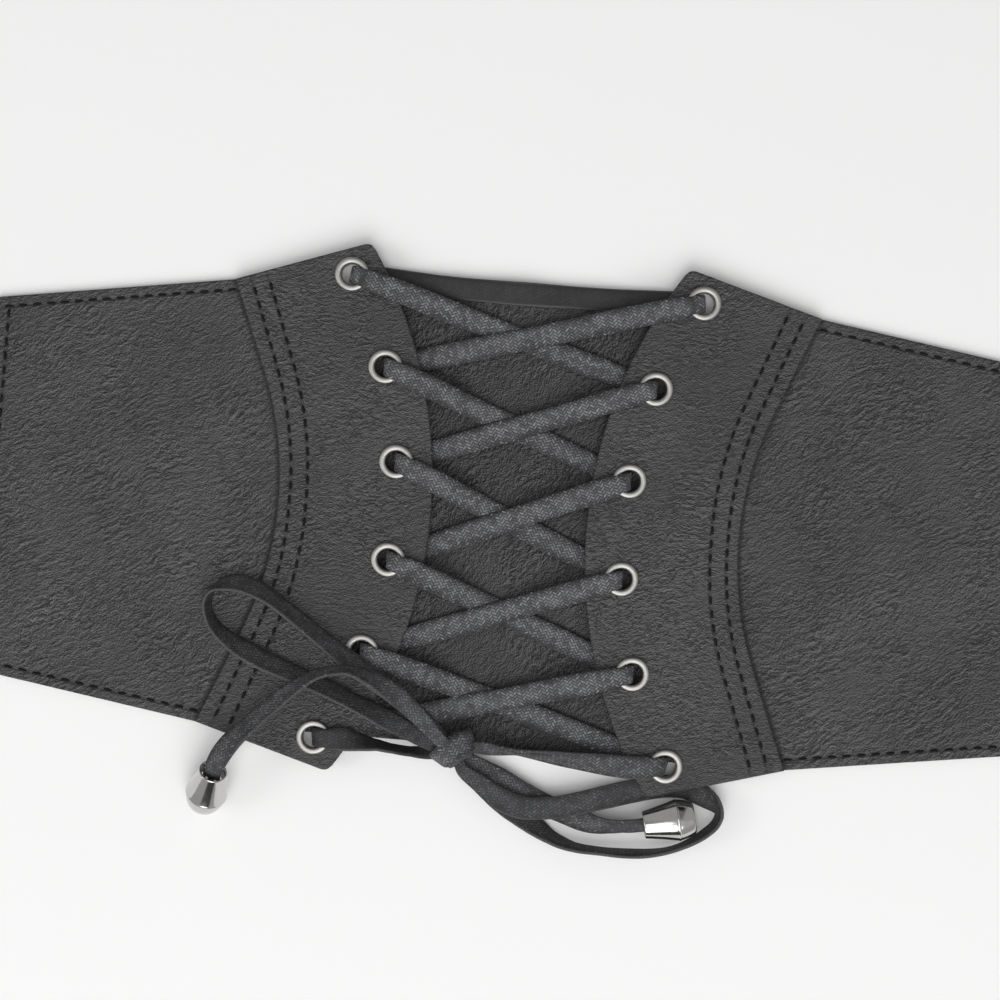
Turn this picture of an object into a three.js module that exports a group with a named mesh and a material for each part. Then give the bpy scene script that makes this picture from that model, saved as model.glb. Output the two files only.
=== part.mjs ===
// Wide laced waist belt, lying open and flat on a surface at z = 0.
// Millimetres. +X runs along the belt, +Y up its height, +Z away from the surface it lies on.
import * as THREE from 'three';

// Driving dimensions, leather
const TONGUE_THICKNESS = 1.2;
const TONGUE_TOP = 55.4;
const TONGUE_BOTTOM = -57.5;
const PANEL_THICKNESS = 1.8;
const PANEL_END_X = 132.7;
const SEAM_X = 58.1;              // outer edge of a lacing flap, at mid height
const SEAM_RADIUS = 86;
const SEAM_ARC_HALF_HEIGHT = 32;  // above and below this the seam runs straight
// Top and bottom edge of a side panel: height where it leaves the flap, and at the panel's end. The
// belt lies a little crooked, so that the left side's top edge is lower.
const EDGES = {
  left: { seamTop: 54.8, endTop: 45.4, seamBottom: -57, endBottom: -48.4 },
  right: { seamTop: 57, endTop: 48.4, seamBottom: -57, endBottom: -48.4 },
};
const SEAM_OVERLAP = 8;           // how far a side panel runs in under its flap
const FLAP_THICKNESS = 1.6;
const FLAP_INNER_X = 19.5;        // inner edge of a lacing flap, at mid height
const FLAP_INNER_RADIUS = 118;
const FLAP_INNER_HALF_HEIGHT = 66.6;
const FLAP_CORNER_RADIUS = 1.6;
const FLAP_HINGE_X = 74.8;        // the flap rises from here towards the lacing
const FLAP_RISE_DEGREES = 2.38;
const SEAM_STEPS = 18;            // straight steps along a curved edge
const GAP = 0.3;                  // clearance kept between two pieces that lie together

// Driving dimensions, back of the belt
const ELASTIC_THICKNESS = 1.5;
const ELASTIC_HALF_HEIGHT = 45;
const TAB_START_X = 316;
const BELT_END_X = 340;
const TAB_THICKNESS = 2;
const TAB_HALF_HEIGHT = 46;
const CLASP_WIDTH = 16;
const CLASP_HALF_HEIGHT = 41;
const CLASP_THICKNESS = 1.4;

// Driving dimensions, eyelets. The six on a flap lie on an arc, given here as distance from the belt's
// middle and height, top to bottom.
const EYELET_PLACES = [
  { x: 44.2, y: 58.2 },
  { x: 33.9, y: 35.8 },
  { x: 29.2, y: 12.3 },
  { x: 29.2, y: -12.3 },
  { x: 33.9, y: -35.8 },
  { x: 44.2, y: -58.2 },
];
const EYELET_HOLE_RADIUS = 2.9;
const EYELET_BARREL_RADIUS = 3.3;
const EYELET_FLANGE_RADIUS = 4.35;
const EYELET_DOME = 0.9;
const EYELET_BACK = 0.3;
const EYELET_SEAT = 0.1;          // the flange's gap to the leather
const EYELET_HOLE_CLEARANCE = 0.3;
const EYELET_SIDES = 14;

// Driving dimensions, lace and its tips
const LACE_WIDTH = 5.8;
const LACE_THICKNESS = 1.3;
const LACE_IN_HOLE = 4.6;         // the lace gathers to this width inside an eyelet
const LACE_EDGE = 0.35;           // how far the section's edges are bevelled
const KNOT = { x: -8.6, y: -58.4, z: 4.7, long: 5.3, wide: 3.5, deep: 3.6, turn: 41 };
const TIP_SIDES = 16;
const TIP_PROFILE = [             // radius and distance from the mouth, far end first
  { radius: 0, along: 13 },
  { radius: 3.7, along: 13 },
  { radius: 4.15, along: 12.5 },
  { radius: 4.85, along: 10.6 },
  { radius: 5.25, along: 8.6 },
  { radius: 3.5, along: 0.2 },
  { radius: 3.35, along: 0 },
  { radius: 2.8, along: 0.6 },
  { radius: 2.8, along: 5 },
  { radius: 0, along: 5 },
];
const TIP_LEFT = { x: -67.8, y: -67.9, z: 11.9, heading: -107, drop: 42 };
const TIP_RIGHT = { x: 40, y: -73.2, z: 5.35, heading: 13, drop: 0 };

// The bow's four free stretches of lace. x, y, z is the middle of the lace; toward and rise give the
// direction across its flat side: compass angle in the surface's plane and angle above it, in degrees.
const LOOP_LEFT = [
  { x: -13.6, y: -53.8, z: 7.2, toward: -125, rise: 15 },
  { x: -18, y: -50.2, z: 8.4, toward: -120, rise: 28 },
  { x: -24, y: -46, z: 9.6, toward: -110, rise: 36 },
  { x: -31, y: -41.6, z: 10.6, toward: -100, rise: 36 },
  { x: -38, y: -37, z: 10.8, toward: -95, rise: 38 },
  { x: -45, y: -32.3, z: 9.8, toward: -90, rise: 44 },
  { x: -52, y: -27.6, z: 8.7, toward: -90, rise: 46 },
  { x: -60, y: -23, z: 7.6, toward: -90, rise: 46 },
  { x: -67, y: -21.2, z: 6.6, toward: -90, rise: 50 },
  { x: -72, y: -23, z: 6, toward: -120, rise: 66 },
  { x: -73.6, y: -27, z: 5.9, toward: 180, rise: 76 },
  { x: -71.5, y: -32, z: 5.9, toward: -120, rise: 60 },
  { x: -66, y: -36.3, z: 6.6, toward: -100, rise: 48 },
  { x: -59, y: -39.6, z: 7.3, toward: -95, rise: 44 },
  { x: -51, y: -42.4, z: 7.8, toward: -95, rise: 42 },
  { x: -43, y: -45, z: 8.3, toward: -95, rise: 42 },
  { x: -35, y: -48.2, z: 8.6, toward: -100, rise: 40 },
  { x: -27, y: -51.6, z: 8, toward: -105, rise: 34 },
  { x: -20, y: -54.8, z: 6.8, toward: -112, rise: 22 },
  { x: -15, y: -57.4, z: 5.7, toward: -115, rise: 8 },
];
const TAIL_LEFT = [
  { x: -12.2, y: -56, z: 9.8, toward: -135, rise: 6 },
  { x: -18, y: -50.4, z: 11.9, toward: -128, rise: 14 },
  { x: -24, y: -45.4, z: 13.9, toward: -120, rise: 28 },
  { x: -30, y: -41.9, z: 15.6, toward: -105, rise: 50 },
  { x: -36.5, y: -40, z: 16.4, toward: -90, rise: 74 },
  { x: -43, y: -41.2, z: 15.8, toward: -75, rise: 66 },
  { x: -49, y: -45.1, z: 14.4, toward: -60, rise: 54 },
  { x: -54.5, y: -50.1, z: 13, toward: -50, rise: 50 },
  { x: -59.6, y: -55.4, z: 12.2, toward: -45, rise: 46 },
  { x: -63.8, y: -60, z: 12.8, toward: -32, rise: 34 },
  { x: -66.3, y: -63.9, z: 13, toward: -24, rise: 18 },
  { x: -67.5, y: -66.8, z: 12.6, toward: -19, rise: 6 },
  { x: -68.3, y: -69.5, z: 10.4, toward: -17, rise: 0 },
];
const LOOP_RIGHT = [
  { x: -6.3, y: -63.2, z: 5.6, toward: 45, rise: 0 },
  { x: -1.8, y: -66.2, z: 5.2, toward: 50, rise: 0 },
  { x: 3, y: -69.4, z: 5, toward: 60, rise: 0 },
  { x: 9, y: -71.4, z: 5.2, toward: 83, rise: 0 },
  { x: 16, y: -71, z: 5.2, toward: 100, rise: 0 },
  { x: 23, y: -69.3, z: 4.8, toward: 105, rise: 0 },
  { x: 30, y: -67.3, z: 3.5, toward: 106, rise: 0 },
  { x: 36.5, y: -65.5, z: 2, toward: 106, rise: 0 },
  { x: 43.5, y: -63.8, z: 1.4, toward: 103, rise: 0 },
  { x: 49.5, y: -63.5, z: 1.2, toward: 84, rise: 0 },
  { x: 53.8, y: -64.8, z: 1.5, toward: 64, rise: 8 },
  { x: 57.2, y: -66.6, z: 2.9, toward: 40, rise: 46 },
  { x: 58.9, y: -68.9, z: 3.6, toward: 5, rise: 78 },
  { x: 58.2, y: -71.6, z: 3.7, toward: -35, rise: 80 },
  { x: 55.9, y: -74.1, z: 3.8, toward: -52, rise: 80 },
  { x: 52, y: -76.9, z: 3.8, toward: -64, rise: 80 },
  { x: 47.4, y: -79.1, z: 3.8, toward: -76, rise: 80 },
  { x: 42, y: -80.4, z: 3.8, toward: -84, rise: 79 },
  { x: 36.3, y: -80.9, z: 3.8, toward: -90, rise: 80 },
  { x: 30, y: -80.9, z: 3.7, toward: -94, rise: 82 },
  { x: 23, y: -80.4, z: 3.6, toward: -100, rise: 81 },
  { x: 17.2, y: -78.5, z: 3.2, toward: -108, rise: 66 },
  { x: 13, y: -76.1, z: 2.4, toward: -111, rise: 34 },
  { x: 9.3, y: -74, z: 1.6, toward: -113, rise: 12 },
  { x: 6, y: -72.2, z: 1.2, toward: -117, rise: 2 },
  { x: 2.6, y: -70, z: 1.1, toward: -122, rise: 0 },
  { x: -2, y: -66.6, z: 1.1, toward: -135, rise: 0 },
  { x: -6.4, y: -63.4, z: 1.9, toward: -140, rise: 0 },
];
const TAIL_RIGHT = [
  { x: -4.4, y: -60.8, z: 3.7, toward: 55, rise: 0 },
  { x: -1, y: -62.8, z: 3.1, toward: 55, rise: 0 },
  { x: 3.2, y: -65, z: 2.8, toward: 58, rise: 0 },
  { x: 8, y: -67.6, z: 2.6, toward: 62, rise: 0 },
  { x: 14, y: -70.2, z: 2.4, toward: 66, rise: 0 },
  { x: 20, y: -72.2, z: 2.3, toward: 74, rise: 2 },
  { x: 24, y: -73.5, z: 2.4, toward: 80, rise: 5 },
  { x: 27.5, y: -74.4, z: 2.9, toward: 86, rise: 28 },
  { x: 31, y: -74.5, z: 3.6, toward: 88, rise: 48 },
  { x: 34.5, y: -74.2, z: 4.3, toward: 90, rise: 58 },
  { x: 38.3, y: -73.6, z: 5, toward: 95, rise: 52 },
  { x: 41.7, y: -72.8, z: 5.35, toward: 100, rise: 40 },
];
const BOW_STEPS = { loop: 28, tail: 14 };
const NARROWING_START = 0.75;     // share of a tail after which it narrows into its tip

// Materials
const leather = () => new THREE.MeshStandardMaterial({ color: 0x3c3c3a, roughness: 0.62, metalness: 0 });
const darkLeather = () => new THREE.MeshStandardMaterial({ color: 0x323231, roughness: 0.7, metalness: 0 });
const webbing = () => new THREE.MeshStandardMaterial({ color: 0x222223, roughness: 0.9, metalness: 0 });
const braid = () => new THREE.MeshStandardMaterial({ color: 0x4b4d52, roughness: 0.75, metalness: 0 });
const nickel = () => new THREE.MeshStandardMaterial({ color: 0xb9b6b0, roughness: 0.3, metalness: 1 });
const gunmetal = () => new THREE.MeshStandardMaterial({ color: 0x9a9894, roughness: 0.12, metalness: 1 });

const group = new THREE.Group();

function addMesh(parent, name, geometry, material) {
  const mesh = new THREE.Mesh(geometry, material);
  mesh.name = name;
  parent.add(mesh);
  return mesh;
}

const radians = THREE.MathUtils.degToRad;

// Distance of the flap's outer edge from the belt's middle at a height: an arc that runs on straight
function seamX(y) {
  const onArc = Math.min(Math.abs(y), SEAM_ARC_HALF_HEIGHT);
  const drop = Math.sqrt(SEAM_RADIUS ** 2 - onArc ** 2);
  return SEAM_X + SEAM_RADIUS - drop + (Math.abs(y) - onArc) * (onArc / drop);
}

// Distance of the flap's inner edge from the belt's middle at a height
function flapInnerX(y) {
  return FLAP_INNER_X + FLAP_INNER_RADIUS - Math.sqrt(FLAP_INNER_RADIUS ** 2 - y ** 2);
}

// Points up an edge, from one height to another
function edgePoints(edgeX, fromY, toY, steps) {
  return Array.from({ length: steps + 1 }, (_, i) => {
    const y = fromY + ((toY - fromY) * i) / steps;
    return new THREE.Vector2(edgeX(y), y);
  });
}

// Four points that round the corner between two straight neighbours
function roundedCorner(before, corner, after, radius) {
  const back = before.clone().sub(corner).normalize();
  const on = after.clone().sub(corner).normalize();
  const reach = radius / Math.tan(Math.acos(back.dot(on)) / 2);
  const curve = new THREE.QuadraticBezierCurve(
    corner.clone().addScaledVector(back, reach), corner, corner.clone().addScaledVector(on, reach));
  return curve.getPoints(3);
}

// A flat plate from an outline, from height z0 up to z1, with optional round holes
function plate(points, z0, z1, holes = []) {
  const shape = new THREE.Shape(THREE.ShapeUtils.isClockWise(points) ? points.toReversed() : points);
  for (const hole of holes) {
    const path = new THREE.Path();
    path.absarc(hole.x, hole.y, hole.radius, 0, 2 * Math.PI, true);
    shape.holes.push(path);
  }
  const settings = { depth: z1 - z0, bevelEnabled: false, curveSegments: 16 };
  return new THREE.ExtrudeGeometry(shape, settings).translate(0, 0, z0);
}

// The same outline for the left side (side = -1) or the right side (side = 1)
function onSide(points, side) {
  return points.map((p) => new THREE.Vector2(p.x * side, p.y));
}

// Tongue: the panel behind the lacing, as wide as the gap between the two side panels
function tongue() {
  const edge = (y) => seamX(y) - SEAM_OVERLAP - GAP;
  const right = edgePoints(edge, TONGUE_BOTTOM, TONGUE_TOP, SEAM_STEPS);
  const left = onSide(right, -1).reverse();
  addMesh(group, 'tongue', plate([...right, ...left], 0, TONGUE_THICKNESS), darkLeather());
}

function sidePanel(sideName, side) {
  const { seamTop, endTop, seamBottom, endBottom } = EDGES[sideName];
  const outline = [
    ...edgePoints((y) => seamX(y) - SEAM_OVERLAP, seamTop, seamBottom, SEAM_STEPS),
    new THREE.Vector2(seamX(seamBottom), seamBottom),
    new THREE.Vector2(PANEL_END_X, endBottom),
    new THREE.Vector2(PANEL_END_X, endTop),
    new THREE.Vector2(seamX(seamTop), seamTop),
  ];
  const panel = plate(onSide(outline, side), 0, PANEL_THICKNESS);
  addMesh(group, `side_panel_${sideName}`, panel, leather());
}

// Lacing flap with its six eyelets, in a group that rises from the seam towards the lacing
function flap(sideName, side) {
  const hinge = new THREE.Group();
  hinge.position.set(side * FLAP_HINGE_X, 0, PANEL_THICKNESS + GAP);
  hinge.rotation.y = side * radians(FLAP_RISE_DEGREES);
  group.add(hinge);

  const { seamTop, seamBottom } = EDGES[sideName];
  const seam = edgePoints(seamX, seamBottom, seamTop, SEAM_STEPS);
  const inner = edgePoints(flapInnerX, FLAP_INNER_HALF_HEIGHT, -FLAP_INNER_HALF_HEIGHT, SEAM_STEPS + 2);
  const topCorner = roundedCorner(seam.at(-1), inner[0], inner[1], FLAP_CORNER_RADIUS);
  const bottomCorner = roundedCorner(inner.at(-2), inner.at(-1), seam[0], FLAP_CORNER_RADIUS);
  const outline = [...seam, ...topCorner, ...inner.slice(1, -1), ...bottomCorner];
  const local = onSide(outline, side).map((p) => p.setX(p.x - side * FLAP_HINGE_X));
  const places = EYELET_PLACES.map((p) => ({ x: side * (p.x - FLAP_HINGE_X), y: p.y }));
  const holes = places.map((p) => ({ ...p, radius: EYELET_BARREL_RADIUS + EYELET_HOLE_CLEARANCE }));
  addMesh(hinge, `flap_${sideName}`, plate(local, 0, FLAP_THICKNESS, holes), leather());
  places.forEach((place, i) => {
    const eyelet = addMesh(hinge, `eyelet_${sideName}_${i + 1}`, eyeletShape(), nickel());
    eyelet.position.set(place.x, place.y, 0);
  });
}

// One eyelet standing on z: a thin barrel with a domed flange in front and a flat one behind
function eyeletShape() {
  const back = -EYELET_SEAT;
  const front = FLAP_THICKNESS + EYELET_SEAT;
  const crown = (EYELET_HOLE_RADIUS + EYELET_FLANGE_RADIUS) / 2;
  const profile = [
    [EYELET_HOLE_RADIUS, back - EYELET_BACK],
    [EYELET_FLANGE_RADIUS - 0.2, back - EYELET_BACK],
    [EYELET_FLANGE_RADIUS - 0.2, back],
    [EYELET_BARREL_RADIUS, back],
    [EYELET_BARREL_RADIUS, front],
    [EYELET_FLANGE_RADIUS, front],
    [crown, front + EYELET_DOME],
    [EYELET_HOLE_RADIUS, front + EYELET_DOME / 3],
    [EYELET_HOLE_RADIUS, back - EYELET_BACK],
  ].map(([radius, z]) => new THREE.Vector2(radius, z));
  return new THREE.LatheGeometry(profile, EYELET_SIDES).rotateX(Math.PI / 2);
}

// Elastic and its leather end tab, one set at each end of the belt
function back(sideName, side) {
  const block = (x0, x1, halfHeight, z0, z1) => {
    const box = new THREE.BoxGeometry(x1 - x0, 2 * halfHeight, z1 - z0);
    return box.translate((side * (x0 + x1)) / 2, 0, (z0 + z1) / 2);
  };
  const elastic = block(PANEL_END_X + GAP, TAB_START_X - GAP, ELASTIC_HALF_HEIGHT, 0, ELASTIC_THICKNESS);
  addMesh(group, `elastic_${sideName}`, elastic, webbing());
  const tab = block(TAB_START_X, BELT_END_X, TAB_HALF_HEIGHT, 0, TAB_THICKNESS);
  addMesh(group, `end_tab_${sideName}`, tab, leather());
  if (side < 0) {
    const middle = (TAB_START_X + BELT_END_X) / 2;
    const from = TAB_THICKNESS + GAP / 3;
    const strip = block(middle - CLASP_WIDTH / 2, middle + CLASP_WIDTH / 2, CLASP_HALF_HEIGHT,
      from, from + CLASP_THICKNESS);
    addMesh(group, 'clasp_strip', strip, webbing());
  }
}

// A flat band through stations { at, across, width }: eight-sided section, closed at both ends
function band(stations, width) {
  const positions = [];
  const count = stations.length;
  stations.forEach((station, i) => {
    const [before, after] = [stations[Math.max(i - 1, 0)], stations[Math.min(i + 1, count - 1)]];
    const along = after.at.clone().sub(before.at).normalize();
    const across = station.across.clone().addScaledVector(along, -station.across.dot(along)).normalize();
    const over = along.clone().cross(across);
    const w = (station.width ?? width) / 2;
    const t = LACE_THICKNESS / 2;
    const e = LACE_EDGE;
    const upper = [[w, e - t], [w, t - e], [w - e, t], [e - w, t]];
    const lower = upper.map(([u, v]) => [-u, -v]);
    for (const [u, v] of [...upper, ...lower]) {
      const p = station.at.clone().addScaledVector(across, u).addScaledVector(over, v);
      positions.push(p.x, p.y, p.z);
    }
  });
  const sides = 8;
  const indices = [];
  for (let i = 0; i + 1 < count; i += 1) {
    for (let k = 0; k < sides; k += 1) {
      const a = i * sides + k;
      const b = i * sides + ((k + 1) % sides);
      indices.push(a, b, b + sides, a, b + sides, a + sides);
    }
  }
  const last = (count - 1) * sides;
  for (let k = 1; k + 1 < sides; k += 1) {
    indices.push(0, k + 1, k);
    indices.push(last, last + k, last + k + 1);
  }
  const geometry = new THREE.BufferGeometry();
  geometry.setAttribute('position', new THREE.Float32BufferAttribute(positions, 3));
  geometry.setIndex(indices);
  geometry.computeVertexNormals();
  return geometry;
}

// Heights of a flap's two faces at a distance from the belt's middle
const flapUnder = (x) =>
  PANEL_THICKNESS + GAP + (FLAP_HINGE_X - Math.abs(x)) * Math.tan(radians(FLAP_RISE_DEGREES));
const flapOver = (x) => flapUnder(x) + FLAP_THICKNESS;

const half = LACE_THICKNESS / 2;
const LOW = TONGUE_THICKNESS + GAP + half;      // middle of a strand lying on the tongue
const HIGH = LOW + LACE_THICKNESS + GAP;        // middle of a strand that crosses over another
const EDGE_LEAD = 2.4;                          // a strand stays up this far past the flap's edge

// The lace as it leaves an eyelet: distance from the eyelet's middle, height of the lace's middle over
// the front flange or under the back one, and its width
const LEAVING_ROWS = [
  { out: 0.6, over: -0.4, under: -0.4, width: LACE_IN_HOLE },
  { out: 1.6, over: 0.75, under: 0.75, width: LACE_IN_HOLE },
  { out: 3, over: 1, under: 0.98, width: LACE_IN_HOLE },
  { out: 5, over: 0.95, under: 0.98, width: LACE_WIDTH - 0.4 },
];

// A strand sinks to the tongue and climbs again. The places are shares of the way from the belt's
// middle to the flap's edge that it climbs to.
const SINK_PLACE = -0.45;
const CLIMB_PLACE = 0.4;
const CLIMB_HEIGHT = 0.6;

// The top bar of the lacing hangs between its two eyelets: two points in its middle stretch
const BAR = [{ x: 20, y: 57.4 }, { x: -20, y: 57.2 }];

function eyeletPlace(key) {
  const place = EYELET_PLACES[Number(key[1]) - 1];
  return new THREE.Vector2(key[0] === 'L' ? -place.x : place.x, place.y);
}

// Stations through one eyelet towards another point, from its middle outwards, over or under the flap
function leaving(from, to, isOver) {
  const direction = to.clone().sub(from).normalize();
  const crown = flapOver(from.x) + EYELET_SEAT + EYELET_DOME;
  const rim = flapUnder(from.x) - EYELET_SEAT - EYELET_BACK;
  const across = new THREE.Vector3(-direction.y, direction.x, 0);
  return LEAVING_ROWS.map(({ out, over, under, width }) => ({
    at: new THREE.Vector3(
      from.x + direction.x * out, from.y + direction.y * out, isOver ? crown + over : rim - under),
    across,
    width,
  }));
}

// One strand: under the flap at one eyelet, across the tongue, over the flap to the other eyelet
function strand(underKey, overKey) {
  const from = eyeletPlace(underKey);
  const to = eyeletPlace(overKey);
  const direction = to.clone().sub(from).normalize();
  const across = new THREE.Vector3(-direction.y, direction.x, 0);
  const crossing = to.x > 0 ? HIGH : LOW;
  const edge = Math.sign(to.x) * (flapInnerX(to.y) - EDGE_LEAD);
  const middle = [
    { x: -edge, z: LOW },
    { x: edge * SINK_PLACE, z: (LOW + crossing) / 2 },
    { x: 0, z: crossing },
    { x: edge * CLIMB_PLACE, z: crossing + CLIMB_HEIGHT },
    { x: edge, z: flapOver(edge) + 2 * GAP + half },
  ].map(({ x, z }) => {
    const share = (x - from.x) / (to.x - from.x);
    return { at: new THREE.Vector3(x, from.y + (to.y - from.y) * share, z), across };
  });
  const arriving = leaving(to, from, true).reverse().map((station) => ({ ...station, across }));
  return [...leaving(from, to, false), ...middle, ...arriving];
}

// The laced stretch, whole: from the knot through all twelve eyelets and back to the knot
function lacedStretch() {
  const fromKnot = [
    { x: -13.9, y: -59.8, z: 3, toward: -90, rise: 24 },
    { x: -19.6, y: -59.9, z: 4, toward: -92, rise: 68 },
    { x: -24.6, y: -59.4, z: 4.8, toward: -92, rise: 80 },
    { x: -28.6, y: -58.7, z: 5.9, toward: -92, rise: 76 },
    { x: -32.6, y: -58.2, z: 7.3, toward: -92, rise: 48 },
    { x: -36, y: -57.9, z: 7.9, toward: -91, rise: 14 },
  ];
  const toKnot = [
    { x: 35, y: -59, z: 6.6, toward: 90, rise: 4 },
    { x: 27, y: -58.8, z: 5.9, toward: 90, rise: 22 },
    { x: 21, y: -58.6, z: 5.5, toward: 90, rise: 42 },
    { x: 14, y: -58.2, z: 5.1, toward: 90, rise: 60 },
    { x: 7, y: -57.8, z: 4.9, toward: 92, rise: 70 },
    { x: 1.5, y: -57.6, z: 5.7, toward: 95, rise: 50 },
    { x: -3.4, y: -57.2, z: 6.4, toward: 98, rise: 16 },
  ];
  const leftRun = ['L6', 'R5', 'L4', 'R3', 'L2', 'R1'];
  const rightRun = ['R6', 'L5', 'R4', 'L3', 'R2', 'L1'];
  const through = (key) => {
    const p = eyeletPlace(key);
    return { at: new THREE.Vector3(p.x, p.y, (flapUnder(p.x) + flapOver(p.x)) / 2), width: LACE_IN_HOLE };
  };
  const climb = (keys, start) => {
    const first = eyeletPlace(keys[0]);
    const knotSide = new THREE.Vector2(start.at(-1).at.x, start.at(-1).at.y);
    const rows = [...start, ...leaving(first, knotSide, true).reverse()];
    for (let i = 0; i + 1 < keys.length; i += 1) {
      rows.push(through(keys[i]), ...strand(keys[i], keys[i + 1]));
    }
    rows.push(through(keys.at(-1)));
    return rows;
  };
  const left = climb(leftRun, placed(fromKnot));
  const right = climb(rightRun, placed(toKnot).reverse());
  const [topLeft, topRight] = [eyeletPlace('L1'), eyeletPlace('R1')];
  const bar = [
    ...leaving(topRight, topLeft, false),
    ...BAR.map(({ x, y }) => ({ at: new THREE.Vector3(x, y, LOW), across: new THREE.Vector3(0, 1, 0) })),
    ...leaving(topLeft, topRight, false).reverse(),
  ];
  return aligned([...left, ...bar, ...right.reverse()]);
}

// Turns each station's across direction so that the band never flips over between two stations
function aligned(stations) {
  let last = null;
  stations.forEach((station, i) => {
    const before = stations[i - 1];
    const after = stations[i + 1];
    if (!station.across) {
      const flipped = before.across.dot(after.across) < 0 ? -1 : 1;
      station.across = before.across.clone().addScaledVector(after.across, flipped).normalize();
    }
    if (last && station.across.dot(last) < 0) station.across = station.across.clone().negate();
    last = station.across;
  });
  return stations;
}

// Rows of a table as stations
function placed(rows) {
  return rows.map((row) => {
    const [toward, rise] = [radians(row.toward), radians(row.rise)];
    return {
      at: new THREE.Vector3(row.x, row.y, row.z),
      across: new THREE.Vector3(
        Math.cos(rise) * Math.cos(toward), Math.cos(rise) * Math.sin(toward), Math.sin(rise)),
    };
  });
}

// A smooth band through a table's rows, in equal steps; endWidth narrows it at its last step
function smoothBand(rows, steps, endWidth = LACE_WIDTH) {
  const stations = aligned(placed(rows));
  const curve = new THREE.CatmullRomCurve3(stations.map((s) => s.at), false, 'centripetal');
  const between = (i) => {
    const place = (i / steps) * (rows.length - 1);
    const before = Math.min(Math.floor(place), rows.length - 2);
    const share = place - before;
    const across = stations[before].across.clone().lerp(stations[before + 1].across, share);
    const narrowing = THREE.MathUtils.smoothstep(i / steps, NARROWING_START, 1);
    const width = THREE.MathUtils.lerp(LACE_WIDTH, endWidth, narrowing);
    return { at: curve.getPoint(i / steps), across, width };
  };
  return band(Array.from({ length: steps + 1 }, (_, i) => between(i)), LACE_WIDTH);
}

function knot() {
  const geometry = new THREE.SphereGeometry(1, 14, 9).scale(KNOT.long, KNOT.wide, KNOT.deep);
  const mesh = addMesh(group, 'bow_knot', geometry, braid());
  mesh.position.set(KNOT.x, KNOT.y, KNOT.z);
  mesh.rotation.z = radians(KNOT.turn);
}

// A hollow bell-shaped tip with its mouth at the given place, its axis along heading, sloping down
function tip(name, place) {
  const profile = TIP_PROFILE.map((row) => new THREE.Vector2(row.radius, row.along)).reverse();
  const geometry = new THREE.LatheGeometry(profile, TIP_SIDES);
  const mesh = addMesh(group, name, geometry, gunmetal());
  mesh.position.set(place.x, place.y, place.z);
  const [heading, drop] = [radians(place.heading), radians(place.drop)];
  const axis = new THREE.Vector3(
    Math.cos(drop) * Math.cos(heading), Math.cos(drop) * Math.sin(heading), -Math.sin(drop));
  mesh.quaternion.setFromUnitVectors(new THREE.Vector3(0, 1, 0), axis);
}

for (const [sideName, side] of [['left', -1], ['right', 1]]) {
  sidePanel(sideName, side);
  flap(sideName, side);
  back(sideName, side);
}
tongue();
addMesh(group, 'lace', band(lacedStretch(), LACE_WIDTH), braid());
knot();
addMesh(group, 'bow_loop_left', smoothBand(LOOP_LEFT, BOW_STEPS.loop), braid());
addMesh(group, 'bow_loop_right', smoothBand(LOOP_RIGHT, BOW_STEPS.loop), braid());
addMesh(group, 'tail_left', smoothBand(TAIL_LEFT, BOW_STEPS.tail, LACE_IN_HOLE), braid());
addMesh(group, 'tail_right', smoothBand(TAIL_RIGHT, BOW_STEPS.tail, LACE_IN_HOLE), braid());
tip('tip_left', TIP_LEFT);
tip('tip_right', TIP_RIGHT);

export default group;
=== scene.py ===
"""Wide laced waist belt laid open on a pale table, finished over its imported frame."""

import math

import bmesh
import bpy
import numpy as np
from bpy.props import FloatProperty, FloatVectorProperty, IntProperty, PointerProperty
from mathutils import Matrix, Vector
from mathutils.bvhtree import BVHTree


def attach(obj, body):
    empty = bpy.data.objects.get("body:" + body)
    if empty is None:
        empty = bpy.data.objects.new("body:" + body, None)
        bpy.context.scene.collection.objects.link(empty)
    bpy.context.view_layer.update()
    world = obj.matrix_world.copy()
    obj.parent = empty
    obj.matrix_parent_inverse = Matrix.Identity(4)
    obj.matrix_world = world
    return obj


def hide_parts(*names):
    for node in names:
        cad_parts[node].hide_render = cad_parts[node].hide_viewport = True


bl_info = {
    "name": "Laced Waist Belt",
    "version": (1, 0, 0),
    "blender": (4, 5, 0),
    "location": "3D View > Sidebar > Belt",
    "description": "Builds the fine surfaces of a laced leather waist belt",
    "category": "Add Mesh",
}

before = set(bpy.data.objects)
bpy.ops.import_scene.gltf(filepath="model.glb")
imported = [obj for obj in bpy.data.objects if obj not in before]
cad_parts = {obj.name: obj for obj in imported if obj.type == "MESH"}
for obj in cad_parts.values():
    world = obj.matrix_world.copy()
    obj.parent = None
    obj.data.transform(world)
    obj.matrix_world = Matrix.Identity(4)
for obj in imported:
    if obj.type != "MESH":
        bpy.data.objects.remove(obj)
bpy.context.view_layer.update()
MM = 0.001
SIDES = (("left", -1), ("right", 1))

# The belt's own sizes, in millimetres, as its solids have them
TONGUE_THICKNESS = 1.2
TONGUE_TOP = 55.4
TONGUE_BOTTOM = -57.5
PANEL_THICKNESS = 1.8
PANEL_END_X = 132.7
SEAM_X = 58.1
SEAM_RADIUS = 86
SEAM_ARC_HALF_HEIGHT = 32
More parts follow.
